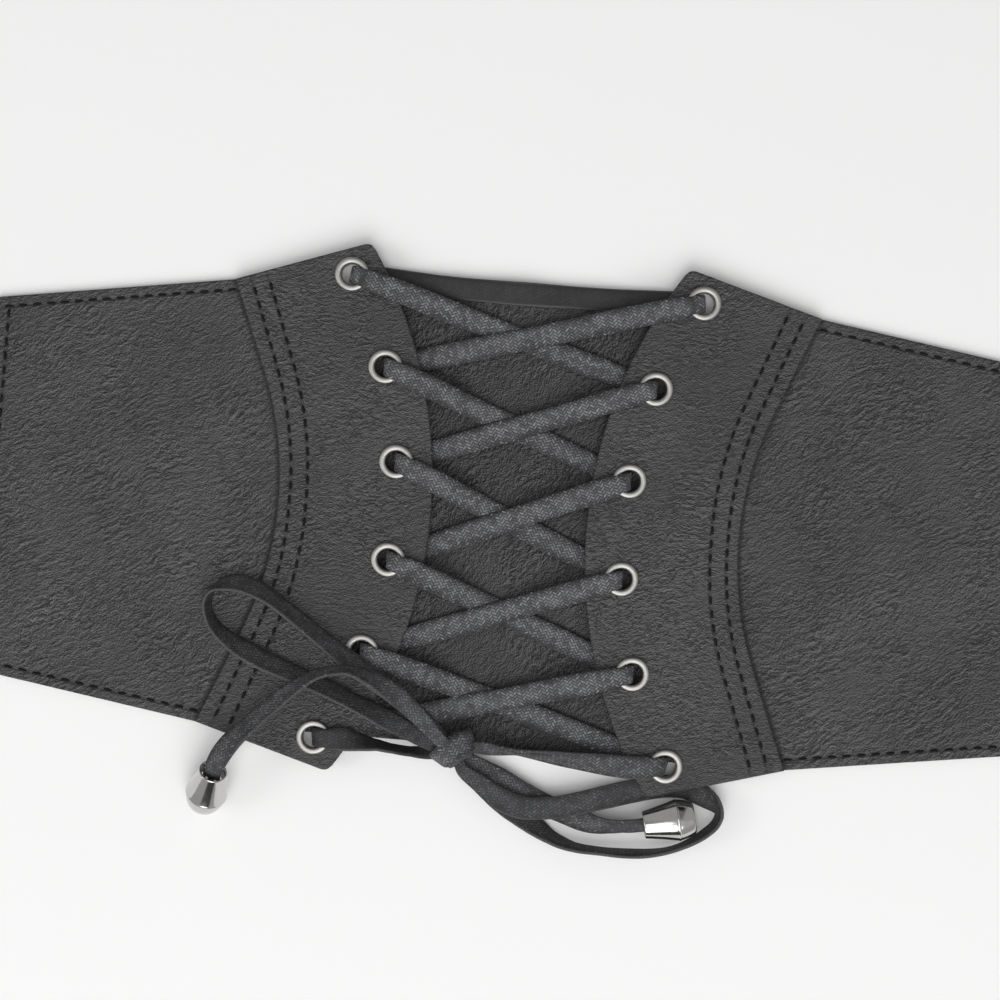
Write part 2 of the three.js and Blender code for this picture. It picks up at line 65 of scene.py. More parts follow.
# Heights of a side panel's edges at the seam and at its end, bottom then top
SEAM_ENDS = {"left": (-57, 54.8), "right": (-57, 57)}
PANEL_ENDS = {"left": (-48.4, 45.4), "right": (-48.4, 48.4)}
FLAP_CORNER = 1.6
SEAM_OVERLAP = 8
FLAP_THICKNESS = 1.6
FLAP_INNER_X = 19.5
FLAP_INNER_RADIUS = 118
FLAP_INNER_HALF_HEIGHT = 66.6
FLAP_HINGE_X = 74.8
FLAP_RISE = math.radians(2.38)
GAP = 0.3
ELASTIC_HALF_HEIGHT = 45
ELASTIC_THICKNESS = 1.35
ELASTIC_RIB = 2.5
ELASTIC_RIB_HEIGHT = 0.14
TAB_START_X = 316
BELT_END_X = 340
TAB_THICKNESS = 2
TAB_HALF_HEIGHT = 46
CLASP = {"start": 320, "end": 336, "half_height": 41, "bottom": 2.1, "top": 3.5}
EYELETS = {
    1: (44.2, 58.2),
    2: (33.9, 35.8),
    3: (29.2, 12.3),
    4: (29.2, -12.3),
    5: (33.9, -35.8),
    6: (44.2, -58.2),
}
EYELET_HOLE_RADIUS = 2.9
EYELET_BARREL_RADIUS = 3.3
EYELET_CUT_RADIUS = 3.6
EYELET_FLANGE_RADIUS = 4.35
EYELET_DOME = 0.9
EYELET_BACK = 0.3
EYELET_SEAT = 0.1
LACE_THICKNESS = 1.3
LACE_IN_HOLE = 4.6
EDGE_LEAD = 2.4  # how far before a flap's edge the lace has risen to pass over it
KNOT_CENTRE = (-8.6, -58.4, 4.7)
KNOT_TURN = math.radians(41)
TIP_LEFT = {"mouth": (-67.8, -67.9, 11.9), "heading": -107, "drop": 42}
TIP_RIGHT = {"mouth": (40, -73.2, 5.35), "heading": 13, "drop": 0}
# Folds of the knot: place across it, reach along it, height, lean in degrees, width and slip
KNOT_FOLDS = (
    (0.1, 5.1, 4.0, 4, 6.3, 1.3),
    (-1.9, 3.7, 2.7, -26, 3.2, 0.4),
    (2.1, 3.5, 2.6, 30, 3.0, 0.3),
)
# Sewn rows: distances inside the edges that they follow. A flap's rows lie further in, by
# ROW_SPREAD for each millimetre up or down from the middle, and stop ROW_END short of its ends
FLAP_ROWS = (2.8, 7.0)
ROW_SPREAD = 0.02
ROW_END = 4.2
PANEL_ROW = 2.6
PANEL_ROW_START = 0.9
PANEL_END_ROW = 2.8
END_ROW_GAP = 1.8
TAB_ROW = 2.6
CLASP_ROW = 1.6
STITCH_LIFT = 0.1
FAR = 99.0  # distance given where there is no row or no seam
# The view's centre on the belt, and the height of the leather that the view's width is measured at
VIEW_CENTRE = (-2.6, 4.9)
FRONT_HEIGHT = 6.5
TABLE_HALF_WIDTH = 4000
TABLE_HEIGHT = -0.02
# Lamps: name, place and aim in metres, width in metres, power in watts
LAMPS = (
    ("window light", (0.1, -1.1, 1.25), (0, 0, 0), 1.5, 13),
    ("overhead light", (0, -0.35, 1.9), (0, 0, 0), 1.4, 9),
    ("side light", (-1.2, -0.2, 0.9), (0, 0, 0), 0.5, 2.4),
)

# Stretches of the lace between the knot and an eyelet, a tip or the knot itself: x, y, z of its
# middle, then the direction across its flat side, as an angle from +X in the table's plane and an
# angle above the table, in degrees
LOOP_LEFT = [
    (-13.6, -53.8, 7.2, -125, 15),
    (-18, -50.2, 8.4, -120, 28),
    (-24, -46, 9.6, -110, 36),
    (-31, -41.6, 10.6, -100, 36),
    (-38, -37, 10.8, -95, 38),
    (-45, -32.3, 9.8, -90, 44),
    (-52, -27.6, 8.7, -90, 46),
    (-60, -23, 7.6, -90, 46),
    (-67, -21.2, 6.6, -90, 50),
    (-72, -23, 6, -120, 66),
    (-73.6, -27, 5.9, 180, 76),
    (-71.5, -32, 5.9, -120, 60),
    (-66, -36.3, 6.6, -100, 48),
    (-59, -39.6, 7.3, -95, 44),
    (-51, -42.4, 7.8, -95, 42),
    (-43, -45, 8.3, -95, 42),
    (-35, -48.2, 8.6, -100, 40),
    (-27, -51.6, 8, -105, 34),
    (-20, -54.8, 6.8, -112, 22),
    (-15, -57.4, 5.7, -115, 8),
]
TAIL_LEFT = [
    (-12.2, -56, 9.8, -135, 6),
    (-18, -50.4, 11.9, -128, 14),
    (-24, -45.4, 13.9, -120, 28),
    (-30, -41.9, 15.6, -105, 50),
    (-36.5, -40, 16.4, -90, 74),
    (-43, -41.2, 15.8, -75, 66),
    (-49, -45.1, 14.4, -60, 54),
    (-54.5, -50.1, 13, -50, 50),
    (-59.6, -55.4, 12.2, -45, 46),
    (-63.8, -60, 12.8, -32, 34),
    (-66.3, -63.9, 13, -24, 18),
    (-67.5, -66.8, 12.6, -19, 6),
    (-68.3, -69.5, 10.4, -17, 0),
]
LOOP_RIGHT = [
    (-6.3, -63.2, 5.6, 45, 0),
    (-1.8, -66.2, 5.2, 50, 0),
    (3, -69.4, 5, 60, 0),
    (9, -71.4, 5.2, 83, 0),
    (16, -71, 5.2, 100, 0),
    (23, -69.3, 4.8, 105, 0),
    (30, -67.3, 3.5, 106, 0),
    (36.5, -65.5, 2, 106, 0),
    (43.5, -63.8, 1.4, 103, 0),
    (49.5, -63.5, 1.2, 84, 0),
    (53.8, -64.8, 1.5, 64, 8),
    (57.2, -66.6, 2.9, 40, 46),
    (58.9, -68.9, 3.6, 5, 78),
    (58.2, -71.6, 3.7, -35, 80),
    (55.9, -74.1, 3.8, -52, 80),
    (52, -76.9, 3.8, -64, 80),
    (47.4, -79.1, 3.8, -76, 80),
    (42, -80.4, 3.8, -84, 79),
    (36.3, -80.9, 3.8, -90, 80),
    (30, -80.9, 3.7, -94, 82),
    (23, -80.4, 3.6, -100, 81),
    (17.2, -78.5, 3.2, -108, 66),
    (13, -76.1, 2.4, -111, 34),
    (9.3, -74, 1.6, -113, 12),
    (6, -72.2, 1.2, -117, 2),
    (2.6, -70, 1.1, -122, 0),
    (-2, -66.6, 1.1, -135, 0),
    (-6.4, -63.4, 1.9, -140, 0),
]
TAIL_RIGHT = [
    (-4.4, -60.8, 3.7, 55, 0),
    (-1, -62.8, 3.1, 55, 0),
    (3.2, -65, 2.8, 58, 0),
    (8, -67.6, 2.6, 62, 0),
    (14, -70.2, 2.4, 66, 0),
    (20, -72.2, 2.3, 74, 2),
    (24, -73.5, 2.4, 80, 5),
    (27.5, -74.4, 2.9, 86, 28),
    (31, -74.5, 3.6, 88, 48),
    (34.5, -74.2, 4.3, 90, 58),
    (38.3, -73.6, 5, 95, 52),
    (41.7, -72.8, 5.35, 100, 40),
]
KNOT_TO_L6 = [
    (-13.9, -59.8, 3, -90, 24),
    (-19.6, -59.9, 4, -92, 68),
    (-24.6, -59.4, 4.8, -92, 80),
    (-28.6, -58.7, 5.9, -92, 76),
    (-32.6, -58.2, 7.3, -92, 48),
    (-36, -57.9, 7.9, -91, 14),
]
R6_TO_KNOT = [
    (35, -59, 6.6, 90, 4),
    (27, -58.8, 5.9, 90, 22),
    (21, -58.6, 5.5, 90, 42),
    (14, -58.2, 5.1, 90, 60),
    (7, -57.8, 4.9, 92, 70),
    (1.5, -57.6, 5.7, 95, 50),
    (-3.4, -57.2, 6.4, 98, 16),
]
GATHER = (0.42, 0.56, 0.78, 0.95)  # widths of the lace where it leaves the knot
LEFT_RUN = ["L6", "R5", "L4", "R3", "L2", "R1"]
RIGHT_RUN = ["R6", "L5", "R4", "L3", "R2", "L1"]


def colour_setting(name, description, default):
    """A colour that a user can change."""
    return FloatVectorProperty(
        name=name, description=description, subtype="COLOR", size=3, min=0, max=1, default=default)


def length_setting(name, description, millimetres):
    """A length that a user can change, its default given in millimetres."""
    return FloatProperty(
        name=name, description=description, default=millimetres * MM, unit="LENGTH")


class BeltLeather(bpy.types.PropertyGroup):
    """Sizes and colours of the leather"""

    colour: colour_setting("Colour", "Leather colour", (0.056, 0.057, 0.056))
    tongue_colour: colour_setting(
        "Tongue colour", "Colour of the panel behind the lacing", (0.055, 0.055, 0.055))
    grain: length_setting("Grain", "Size of the grain, before each piece's own share of it", 1.15)
    edge_roll: length_setting("Edge roll", "Radius of the turned edges", 0.55)
    wave: length_setting("Wave", "Height of the leather's soft waves", 0.09)
    cell: length_setting("Cell", "Spacing of the leather meshes", 1.1)


class BeltThread(bpy.types.PropertyGroup):
    """Sizes and colour of the stitching"""

    colour: colour_setting("Colour", "Thread colour", (0.006, 0.006, 0.008))
    pitch: length_setting("Pitch", "Distance from one stitch to the next", 3.5)
    length: length_setting("Length", "Visible length of one stitch", 2.3)
    thickness: length_setting("Thickness", "Thickness of the thread", 0.68)


class BeltLace(bpy.types.PropertyGroup):
    """Sizes and colour of the lace"""

    colour: colour_setting("Colour", "Lace colour", (0.076, 0.077, 0.081))
    width: length_setting("Width", "Width of the flat lace", 5.8)
    step: length_setting("Step", "Spacing of the lace's sections", 0.8)
    sides: IntProperty(
        name="Sides", description="Points round one section", default=20, min=8, max=48)


class BeltMetal(bpy.types.PropertyGroup):
    """Sizes and colours of the metal pieces"""

    eyelet_colour: colour_setting("Eyelet colour", "Satin nickel of eyelets", (0.41, 0.40, 0.38))
    tip_colour: colour_setting("Tip colour", "Dark nickel of tips", (0.58, 0.57, 0.56))
    sides: IntProperty(
        name="Sides", description="Faces round a turned piece", default=72, min=16, max=160)


class BeltStage(bpy.types.PropertyGroup):
    """Table, light and camera"""

    table_colour: colour_setting("Table colour", "Colour of the table", (0.90, 0.90, 0.895))
    view_width: length_setting("View width", "Width of the view at the belt", 250)
    height: length_setting("Camera height", "Height of the camera", 600)
    turn: FloatProperty(
        name="Turn", description="Turn of the view about the vertical", default=math.radians(4.8),
        subtype="ANGLE")


def mesh_object(name, points, faces, smooth=True):
    """A new mesh object from points in millimetres and the faces as given."""
    mesh = bpy.data.meshes.new(name)
    mesh.from_pydata((np.asarray(points, float) * MM).tolist(), [], faces)
    mesh.validate()
    if smooth:
        mesh.polygons.foreach_set("use_smooth", [True] * len(mesh.polygons))
    mesh.update()
    obj = bpy.data.objects.new(name, mesh)
    bpy.context.scene.collection.objects.link(obj)
    return obj


def point_attribute(obj, name, values):
    """One number for each point, or three where values has three columns."""
    values = np.asarray(values, float)
    kind, field = ("FLOAT_VECTOR", "vector") if values.ndim == 2 else ("FLOAT", "value")
    attribute = obj.data.attributes.new(name, kind, "POINT")
    attribute.data.foreach_set(field, values.ravel())


def uv_from_points(obj, uv_of_point):
    """A UV map that gives each corner its point's place."""
    corners = np.empty(len(obj.data.loops), int)
    obj.data.loops.foreach_get("vertex_index", corners)
    layer = obj.data.uv_layers.new(name="Along")
    layer.data.foreach_set("uv", np.asarray(uv_of_point, float)[corners].ravel())


def finish_piece(obj, material, slot, *nodes):
    """Gives a piece its material and its body, and hides the solids that it stands for. The slot is
    not used.
    """
    obj.data.materials.append(material)
    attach(obj, "root")
    if nodes:
        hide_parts(*nodes)
    return obj


# Outlines, in millimetres
def seam_x(y):
    """Distance of a flap's outer edge from the belt's middle: an arc that runs on straight."""
    y = np.abs(y)
    on_arc = np.minimum(y, SEAM_ARC_HALF_HEIGHT)
    drop = np.sqrt(SEAM_RADIUS**2 - on_arc**2)
    return SEAM_X + SEAM_RADIUS - drop + (y - on_arc) * on_arc / drop


def flap_inner_x(y):
    """Distance of a flap's inner edge from the belt's middle."""
    return FLAP_INNER_X + FLAP_INNER_RADIUS - np.sqrt(FLAP_INNER_RADIUS**2 - np.square(y))


def flap_under(x):
    """Height of a flap's back at a distance from the belt's middle."""
    return PANEL_THICKNESS + GAP + (FLAP_HINGE_X - np.abs(x)) * math.tan(FLAP_RISE)


def waves(x, y, seed):
    """Soft unevenness of laid leather, from -1 to 1."""
    a = np.sin(x / 9.1 + 1.3 * seed + np.sin(y / 13.0 + seed)) * np.sin(y / 12.3 + 0.7 * seed)
    b = np.sin(x / 21.0 - y / 17.0 + 2.1 * seed) * 0.8
    return (a + b) / 1.8


def stops(length, cell, roll):
    """Places along a side, from 0 to 1: close together over the rolled edges, even between."""
    edge = roll * np.array([0, 0.08, 0.25, 0.5, 0.75, 1])
    inside = np.linspace(roll, length - roll, max(int((length - 2 * roll) / cell), 2) + 1)[1:-1]
    return np.concatenate([edge, inside, length - edge[::-1]]) / length


def edge_line(x_at, low, high):
    """An edge that runs up the belt: x, y at a share of the way from one height to another."""
    def place(v):
        y = low + (high - low) * v
        return float(x_at(y)), y
    return place


def upright(x, low, high):
    """A straight edge across the belt."""
    return edge_line(lambda y: x, low, high)


def level(height):
    """The same height everywhere."""
    return lambda x, y: height + 0 * x


def slab(name, near, far, bottom, top, side, cell, roll, wave=0, seed=0, corner=0):
    """A sheet between two edges, near and far, that run up the belt. near(v) and far(v) give x, y
    for v from 0 to 1, bottom and top give heights at x, y, and cell is the spacing each way. The
    sheet's edges are rolled to a radius of roll, and its far corners rounded to one of corner."""
    long = float(np.mean([np.hypot(*np.subtract(far(v), near(v))) for v in (0.1, 0.5, 0.9)]))
    high = max(edge(1)[1] - edge(0)[1] for edge in (near, far))
    us, vs = stops(long, cell[0], roll), stops(high, cell[1], roll)
    u, v = np.meshgrid(us, vs)
    a, b = (np.array([edge(k) for k in vs], float) for edge in (near, far))
    xy = a[:, None, :] * (1 - u[..., None]) + b[:, None, :] * u[..., None]
    if corner:
        xy = round_corners(xy, (1 - u) * long, np.minimum(v, 1 - v) * high, corner)
    x, y = xy[..., 0] * side, xy[..., 1]
    margin = np.minimum(np.minimum(u, 1 - u) * long, np.minimum(v, 1 - v) * high)
    fall = roll - np.sqrt(np.maximum(roll**2 - np.maximum(roll - margin, 0) ** 2, 0))
    lift = wave * waves(x, y, seed) * np.clip(margin / 6, 0, 1)
    points = np.concatenate([
        np.stack([x, y, top(x, y) - fall + lift], -1).reshape(-1, 3),
        np.stack([x, y, bottom(x, y) + fall], -1).reshape(-1, 3),
    ])
    rows, columns = u.shape
    under = rows * columns
    faces = []
    for j in range(rows - 1):
        for i in range(columns - 1):
            k = j * columns + i
            faces.append((k, k + 1, k + 1 + columns, k + columns))
            faces.append((under + k, under + k + columns, under + k + 1 + columns, under + k + 1))
    rim = [*range(columns)]
    rim += [j * columns + columns - 1 for j in range(1, rows)]
    rim += [(rows - 1) * columns + i for i in range(columns - 2, -1, -1)]
    rim += [j * columns for j in range(rows - 2, 0, -1)]
    for k, n in zip(rim, rim[1:] + rim[:1]):
        faces.append((k, under + k, under + n, n))
    if side * (far(0.5)[0] - near(0.5)[0]) < 0:
        faces = [f[::-1] for f in faces]
    return mesh_object(name, points, faces)


def round_corners(xy, from_far, from_end, radius):
    """Pulls the grid's two far corners in to an arc of that radius."""
    out = xy.copy()
    q = np.stack([radius - from_far, radius - from_end], -1)
    inside = (q > 0).all(-1)
    longest, length = q.max(-1), np.maximum(np.linalg.norm(q, axis=-1), 1e-9)
    shrink = np.where(inside, longest / length, 1)
    rows, columns = xy.shape[:2]
    for j, i in zip(*np.nonzero(inside)):
        centre_column = int(np.argmin(np.abs(from_far[j] - radius)))
        end_row = int(np.argmin(np.abs(from_end[: rows // 2, i] - radius)))
        centre_row = end_row if j < rows // 2 else rows - 1 - end_row
        centre = xy[centre_row, centre_column]
        out[j, i] = centre + (xy[j, i] - centre) * shrink[j, i]
    return out


# Flat braid
def smooth_route(points, spacing):
    """Points along a smooth curve through the given ones, and each one's place in the list."""
    p = np.asarray(points, float)
    p = np.concatenate([[2 * p[0] - p[1]], p, [2 * p[-1] - p[-2]]])
    places, route = [], []
    for k in range(1, len(p) - 2):
        p0, p1, p2, p3 = p[k - 1 : k + 3]
        steps = ((p0, p1), (p1, p2), (p2, p3))
        d0, d1, d2 = (max(np.linalg.norm(b - a) ** 0.5, 1e-4) for a, b in steps)
        t1 = ((p1 - p0) / d0 - (p2 - p0) / (d0 + d1) + (p2 - p1) / d1) * d1
        t2 = ((p2 - p1) / d1 - (p3 - p1) / (d1 + d2) + (p3 - p2) / d2) * d1
        count = max(int(round(np.linalg.norm(p2 - p1) / spacing)), 1)
        for t in np.arange(count) / count:
            a, b = 2 * t**3 - 3 * t**2, t**3 - t**2
            route.append((1 + a) * p1 - a * p2 + (b - t**2 + t) * t1 + b * t2)
            places.append(k - 1 + t)
    route.append(p[-2])
    places.append(len(p) - 3)
    return np.array(route), np.array(places)


def across_of(rows):
    """Directions across the flat side, from the tables' two angles."""
    toward, rise = np.radians([r[3] for r in rows]), np.radians([r[4] for r in rows])
    level_x, level_y = np.cos(rise) * np.cos(toward), np.cos(rise) * np.sin(toward)
    return np.stack([level_x, level_y, np.sin(rise)], -1)


def never_flipped(across):
    """The same directions, each turned round where it would point against the one before."""
    out = np.array(across, float)
    for i in range(1, len(out)):
        if out[i] @ out[i - 1] < 0:
            out[i] = -out[i]
    return out


def unit(vectors):
    """Each row's direction, one long."""
    return vectors / np.linalg.norm(vectors, axis=1)[:, None]


def braid(name, points, across, widths, spec, seed=0, closed=False, dull_and_shade=0.0):
    """A flat braided band along points. Returns the object and its centreline in metres."""
    route, places = smooth_route(points, spec.step / MM)
    low = np.minimum(places.astype(int), len(points) - 2)
    share = places - low

    def between(values):
        """Values at the given points, carried over to the finer route."""
        part = share[:, None] if np.ndim(values) > 1 else share
        return values[low] * (1 - part) + values[low + 1] * part

    along = unit(np.gradient(route, axis=0))
    side = between(never_flipped(across))
    side = unit(side - along * (side * along).sum(1)[:, None])
    over = np.cross(along, side)
    travelled = np.concatenate([[0], np.cumsum(np.linalg.norm(np.diff(route, axis=0), axis=1))])
    # The lace never lies quite flat: it rocks a few degrees, but not where it ends
    rock = np.radians(4) * np.sin(travelled / 7.3 + seed)
    rock += np.radians(3) * np.sin(travelled / 3.1 + 2 * seed)
    rock *= np.clip(travelled / 6, 0, 1) * np.clip((travelled[-1] - travelled) / 6, 0, 1)
    cos, sin = np.cos(rock)[:, None], np.sin(rock)[:, None]
    side, over = side * cos + over * sin, over * cos - side * sin
    width = between(np.asarray(widths)) * (1 + 0.035 * np.sin(travelled / 5.7 + 3 * seed))
    # A section with round edges, a little hollow along the middle of each face
    turn = 2 * math.pi * (np.arange(spec.sides) + 0.5) / spec.sides
    flat = np.sign(np.cos(turn)) * np.abs(np.cos(turn)) ** 0.62
    thick = np.sign(np.sin(turn)) * np.abs(np.sin(turn)) ** 0.75
    thick = thick * (1 - 0.16 * np.cos(flat * math.pi / 2) ** 2)
    sections = (
        route[:, None, :]
        + side[:, None, :] * (flat[None, :, None] * width[:, None, None] / 2)
        + over[:, None, :] * (thick[None, :, None] * LACE_THICKNESS / 2)
    )
    count, n = len(route), spec.sides
    last = (count - 1) * n
    faces = [
        (i * n + k, i * n + (k + 1) % n, (i + 1) * n + (k + 1) % n, (i + 1) * n + k)
        for i in range(count - 1)
        for k in range(n)
    ]
    if closed:
        faces += [(last + k, last + (k + 1) % n, (k + 1) % n, k) for k in range(n)]
    else:
        faces += [tuple(range(n))[::-1], tuple(last + k for k in range(n))]
    obj = mesh_object(name, sections.reshape(-1, 3), faces)
    uv = np.broadcast_arrays(travelled[:, None] / 10, flat[None, :] * width[:, None] / 20)
    uv_from_points(obj, np.stack(uv, -1).reshape(-1, 2))
    dull_and_shade = between(np.broadcast_to(dull_and_shade, len(points)))
    point_attribute(obj, "dull_and_shade", np.repeat(dull_and_shade, n))
    return obj, route * MM


def into_knot(rows):
    """A table with one more row at its start, inside the knot."""
    x, y, z, toward, rise = rows[0]
    inside = [c + (p - c) * 0.4 for p, c in zip((x, y, z), KNOT_CENTRE)]
    return [(*inside, toward, rise), *rows]


def free_stretch(name, rows, spec, end_width=None, seed=0, dull_and_shade=0.75):
    """One free loop or tail of the bow from its table, gathered where the knot holds it."""
    width = spec.width / MM
    rows = into_knot(rows)
    if not end_width:
        rows = into_knot(rows[::-1])[::-1]
    widths = np.full(len(rows), width)
    widths[:4] = width * np.array(GATHER)
    if end_width:
        widths[-4:] = np.linspace(width, end_width, 4)
    else:
        widths[-4:] = width * np.array(GATHER[::-1])
    return braid(name, [r[:3] for r in rows], across_of(rows), widths, spec, seed, dull_and_shade=dull_and_shade)


def eyelet_place(key):
    """Place of an eyelet's middle, from its side and number, as in L1."""
    x, y = EYELETS[int(key[1])]
    return np.array([-x if key[0] == "L" else x, y], float)


def square_to(direction):
    """The level direction a quarter turn to the left."""
    return np.array([-direction[1], direction[0], 0.0])


def leaving(start, end, is_over, width):
    """Stations from an eyelet's middle towards another point, over or under the flap. A station is
    a point, the direction across the lace there, and the lace's width."""
    direction = (end - start) / np.linalg.norm(end - start)
    crown = flap_under(start[0]) + FLAP_THICKNESS + EYELET_SEAT + EYELET_DOME
    rim = flap_under(start[0]) - EYELET_SEAT - EYELET_BACK
    # How far out each station is, and how high
    if is_over:
        rows = [(0.6, crown - 0.4), (1.6, crown + 0.75), (3, crown + 1), (5, crown + 0.95)]
    else:
        rows = [(0.6, rim + 0.4), (1.6, rim - 0.75), (3, rim - 0.98), (5, rim - 0.98)]
    across = square_to(direction)
    widths = [LACE_IN_HOLE] * 3 + [width - 0.4]
    return [
        (np.array([*(start + direction * out), z]), across, w) for (out, z), w in zip(rows, widths)
    ]


def strand(under_key, over_key, width):
    """Under the flap at one eyelet, across the tongue, over the flap to the other eyelet."""
    start, end = eyelet_place(under_key), eyelet_place(over_key)
    direction = (end - start) / np.linalg.norm(end - start)
    across = square_to(direction)
    low = TONGUE_THICKNESS + GAP + LACE_THICKNESS / 2
    crossing = low + LACE_THICKNESS + GAP if end[0] > 0 else low
    edge = math.copysign(flap_inner_x(end[1]) - EDGE_LEAD, end[0])
    over_edge = flap_under(edge) + FLAP_THICKNESS + 2 * GAP + LACE_THICKNESS / 2
    middle = []
    for x, z in (
        (-edge, low),
        (-edge * 0.45, (low + crossing) / 2),
        (0, crossing),
        (edge * 0.4, crossing + 0.6),
        (edge, over_edge),
    ):
        share = (x - start[0]) / (end[0] - start[0])
        middle.append((np.array([x, start[1] + (end[1] - start[1]) * share, z]), across, width))
    arriving = [(p, across, w) for p, _, w in leaving(end, start, True, width)[::-1]]
    return leaving(start, end, False, width) + middle + arriving


def laced_route(width):
    """Stations of the laced stretch: from the knot through all twelve eyelets and back."""

    def through(key):
        """The station in an eyelet's middle, which takes its direction from those beside it."""
        x, y = eyelet_place(key)
        return (np.array([x, y, flap_under(x) + FLAP_THICKNESS / 2]), None, LACE_IN_HOLE)

    def climb(keys, rows):
        """Stations from the knot up through one run of eyelets."""
        rows = into_knot(rows)
        gathered = [width * share for share in GATHER] + [width] * (len(rows) - len(GATHER))
        start = [(np.array(r[:3], float), a, w) for r, a, w in zip(rows, across_of(rows), gathered)]
        stations = start + leaving(eyelet_place(keys[0]), start[-1][0][:2], True, width)[::-1]
        for a, b in zip(keys, keys[1:]):
            stations += [through(a), *strand(a, b, width)]
        return stations + [through(keys[-1])]

    low = TONGUE_THICKNESS + GAP + LACE_THICKNESS / 2
    left, right = eyelet_place("L1"), eyelet_place("R1")
    up = np.array([0.0, 1.0, 0.0])
    bar = leaving(right, left, False, width)
    bar += [(np.array([20, 57.4, low]), up, width), (np.array([-20, 57.2, low]), up, width)]
    bar += leaving(left, right, False, width)[::-1]
    stations = climb(LEFT_RUN, KNOT_TO_L6) + bar + climb(RIGHT_RUN, R6_TO_KNOT[::-1])[::-1]
    across = []
    for i, (_, a, _) in enumerate(stations):
        if a is None:
            before, after = stations[i - 1][1], stations[i + 1][1]
            a = before + after * (1 if before @ after > 0 else -1)
        across.append(a / np.linalg.norm(a))
    return [s[0] for s in stations], np.array(across), [s[2] for s in stations]


def laced_dull_and_shade(points):
    """How smooth and dark the braid is along the lacing, with painted shade beside the knot: the
    top bar shows its other face.
    """
    p = np.array(points)
    # Beside the knot it is smooth too, more so on the left, and the darkening there is painted
    # shade on strands turned from the light
    dull_and_shade = np.where((p[:, 1] > 57) & (np.abs(p[:, 0]) < 42), 1.0, 0.1)
    return np.where(p[:, 1] < -56, np.where(p[:, 0] < 0, 0.9, 0.45), dull_and_shade)


# Shader parts
def feed(tree, place, value):
    """Links an input to another node's output, or gives it its own value."""
    if isinstance(value, bpy.types.NodeSocket):
        tree.links.new(value, place)
    elif value is not None:
        place.default_value = value


def node(tree, kind, values=(), settings=None, **named):
    """A node with its inputs set in order or by name, from values or from other nodes' outputs."""
    made = tree.nodes.new(kind)
    for key, value in (settings or {}).items():
        setattr(made, key, value)
    for i, value in enumerate(values):
        feed(tree, made.inputs[i], value)
    for key, value in named.items():
        feed(tree, made.inputs[key.replace("_", " ")], value)
    return made


def calc(tree, operation, *values, clamp=False):
    """A number worked out by one Math node."""
    settings = {"operation": operation, "use_clamp": clamp}
    return node(tree, "ShaderNodeMath", values, settings).outputs[0]


def vector_calc(tree, operation, *values, **named):
    """A vector worked out by one Vector Math node."""
    settings = {"operation": operation}
    return node(tree, "ShaderNodeVectorMath", values, settings, **named).outputs[0]


def noise(tree, place, scale, detail, output="Fac", **named):
    """A noise texture's value, or its colour, at a place."""
    made = node(tree, "ShaderNodeTexNoise", Vector=place, Scale=scale, Detail=detail, **named)
    return made.outputs[output]


def step_between(tree, value, low, high, out_low=0.0, out_high=1.0):
    """A smooth step from out_low to out_high as value goes from low to high."""
    made = node(tree, "ShaderNodeMapRange", (value, low, high, out_low, out_high),
                {"interpolation_type": "SMOOTHSTEP"})
    return made.outputs[0]


def shader_group(name, inputs, outputs):
    """An empty node group with those sockets, and the outputs of its input node."""
    group = bpy.data.node_groups.new(name, "ShaderNodeTree")
    for label, kind, default in inputs:
        made = group.interface.new_socket(label, in_out="INPUT", socket_type=f"NodeSocket{kind}")
        if default is not None:
            made.default_value = default
    for label in outputs:
        group.interface.new_socket(label, in_out="OUTPUT", socket_type="NodeSocketFloat")
    return group, group.nodes.new("NodeGroupInput").outputs


def closed_group(tree, **outputs):
    """The same group with its outputs linked."""
    node(tree, "NodeGroupOutput", **outputs)
    return tree


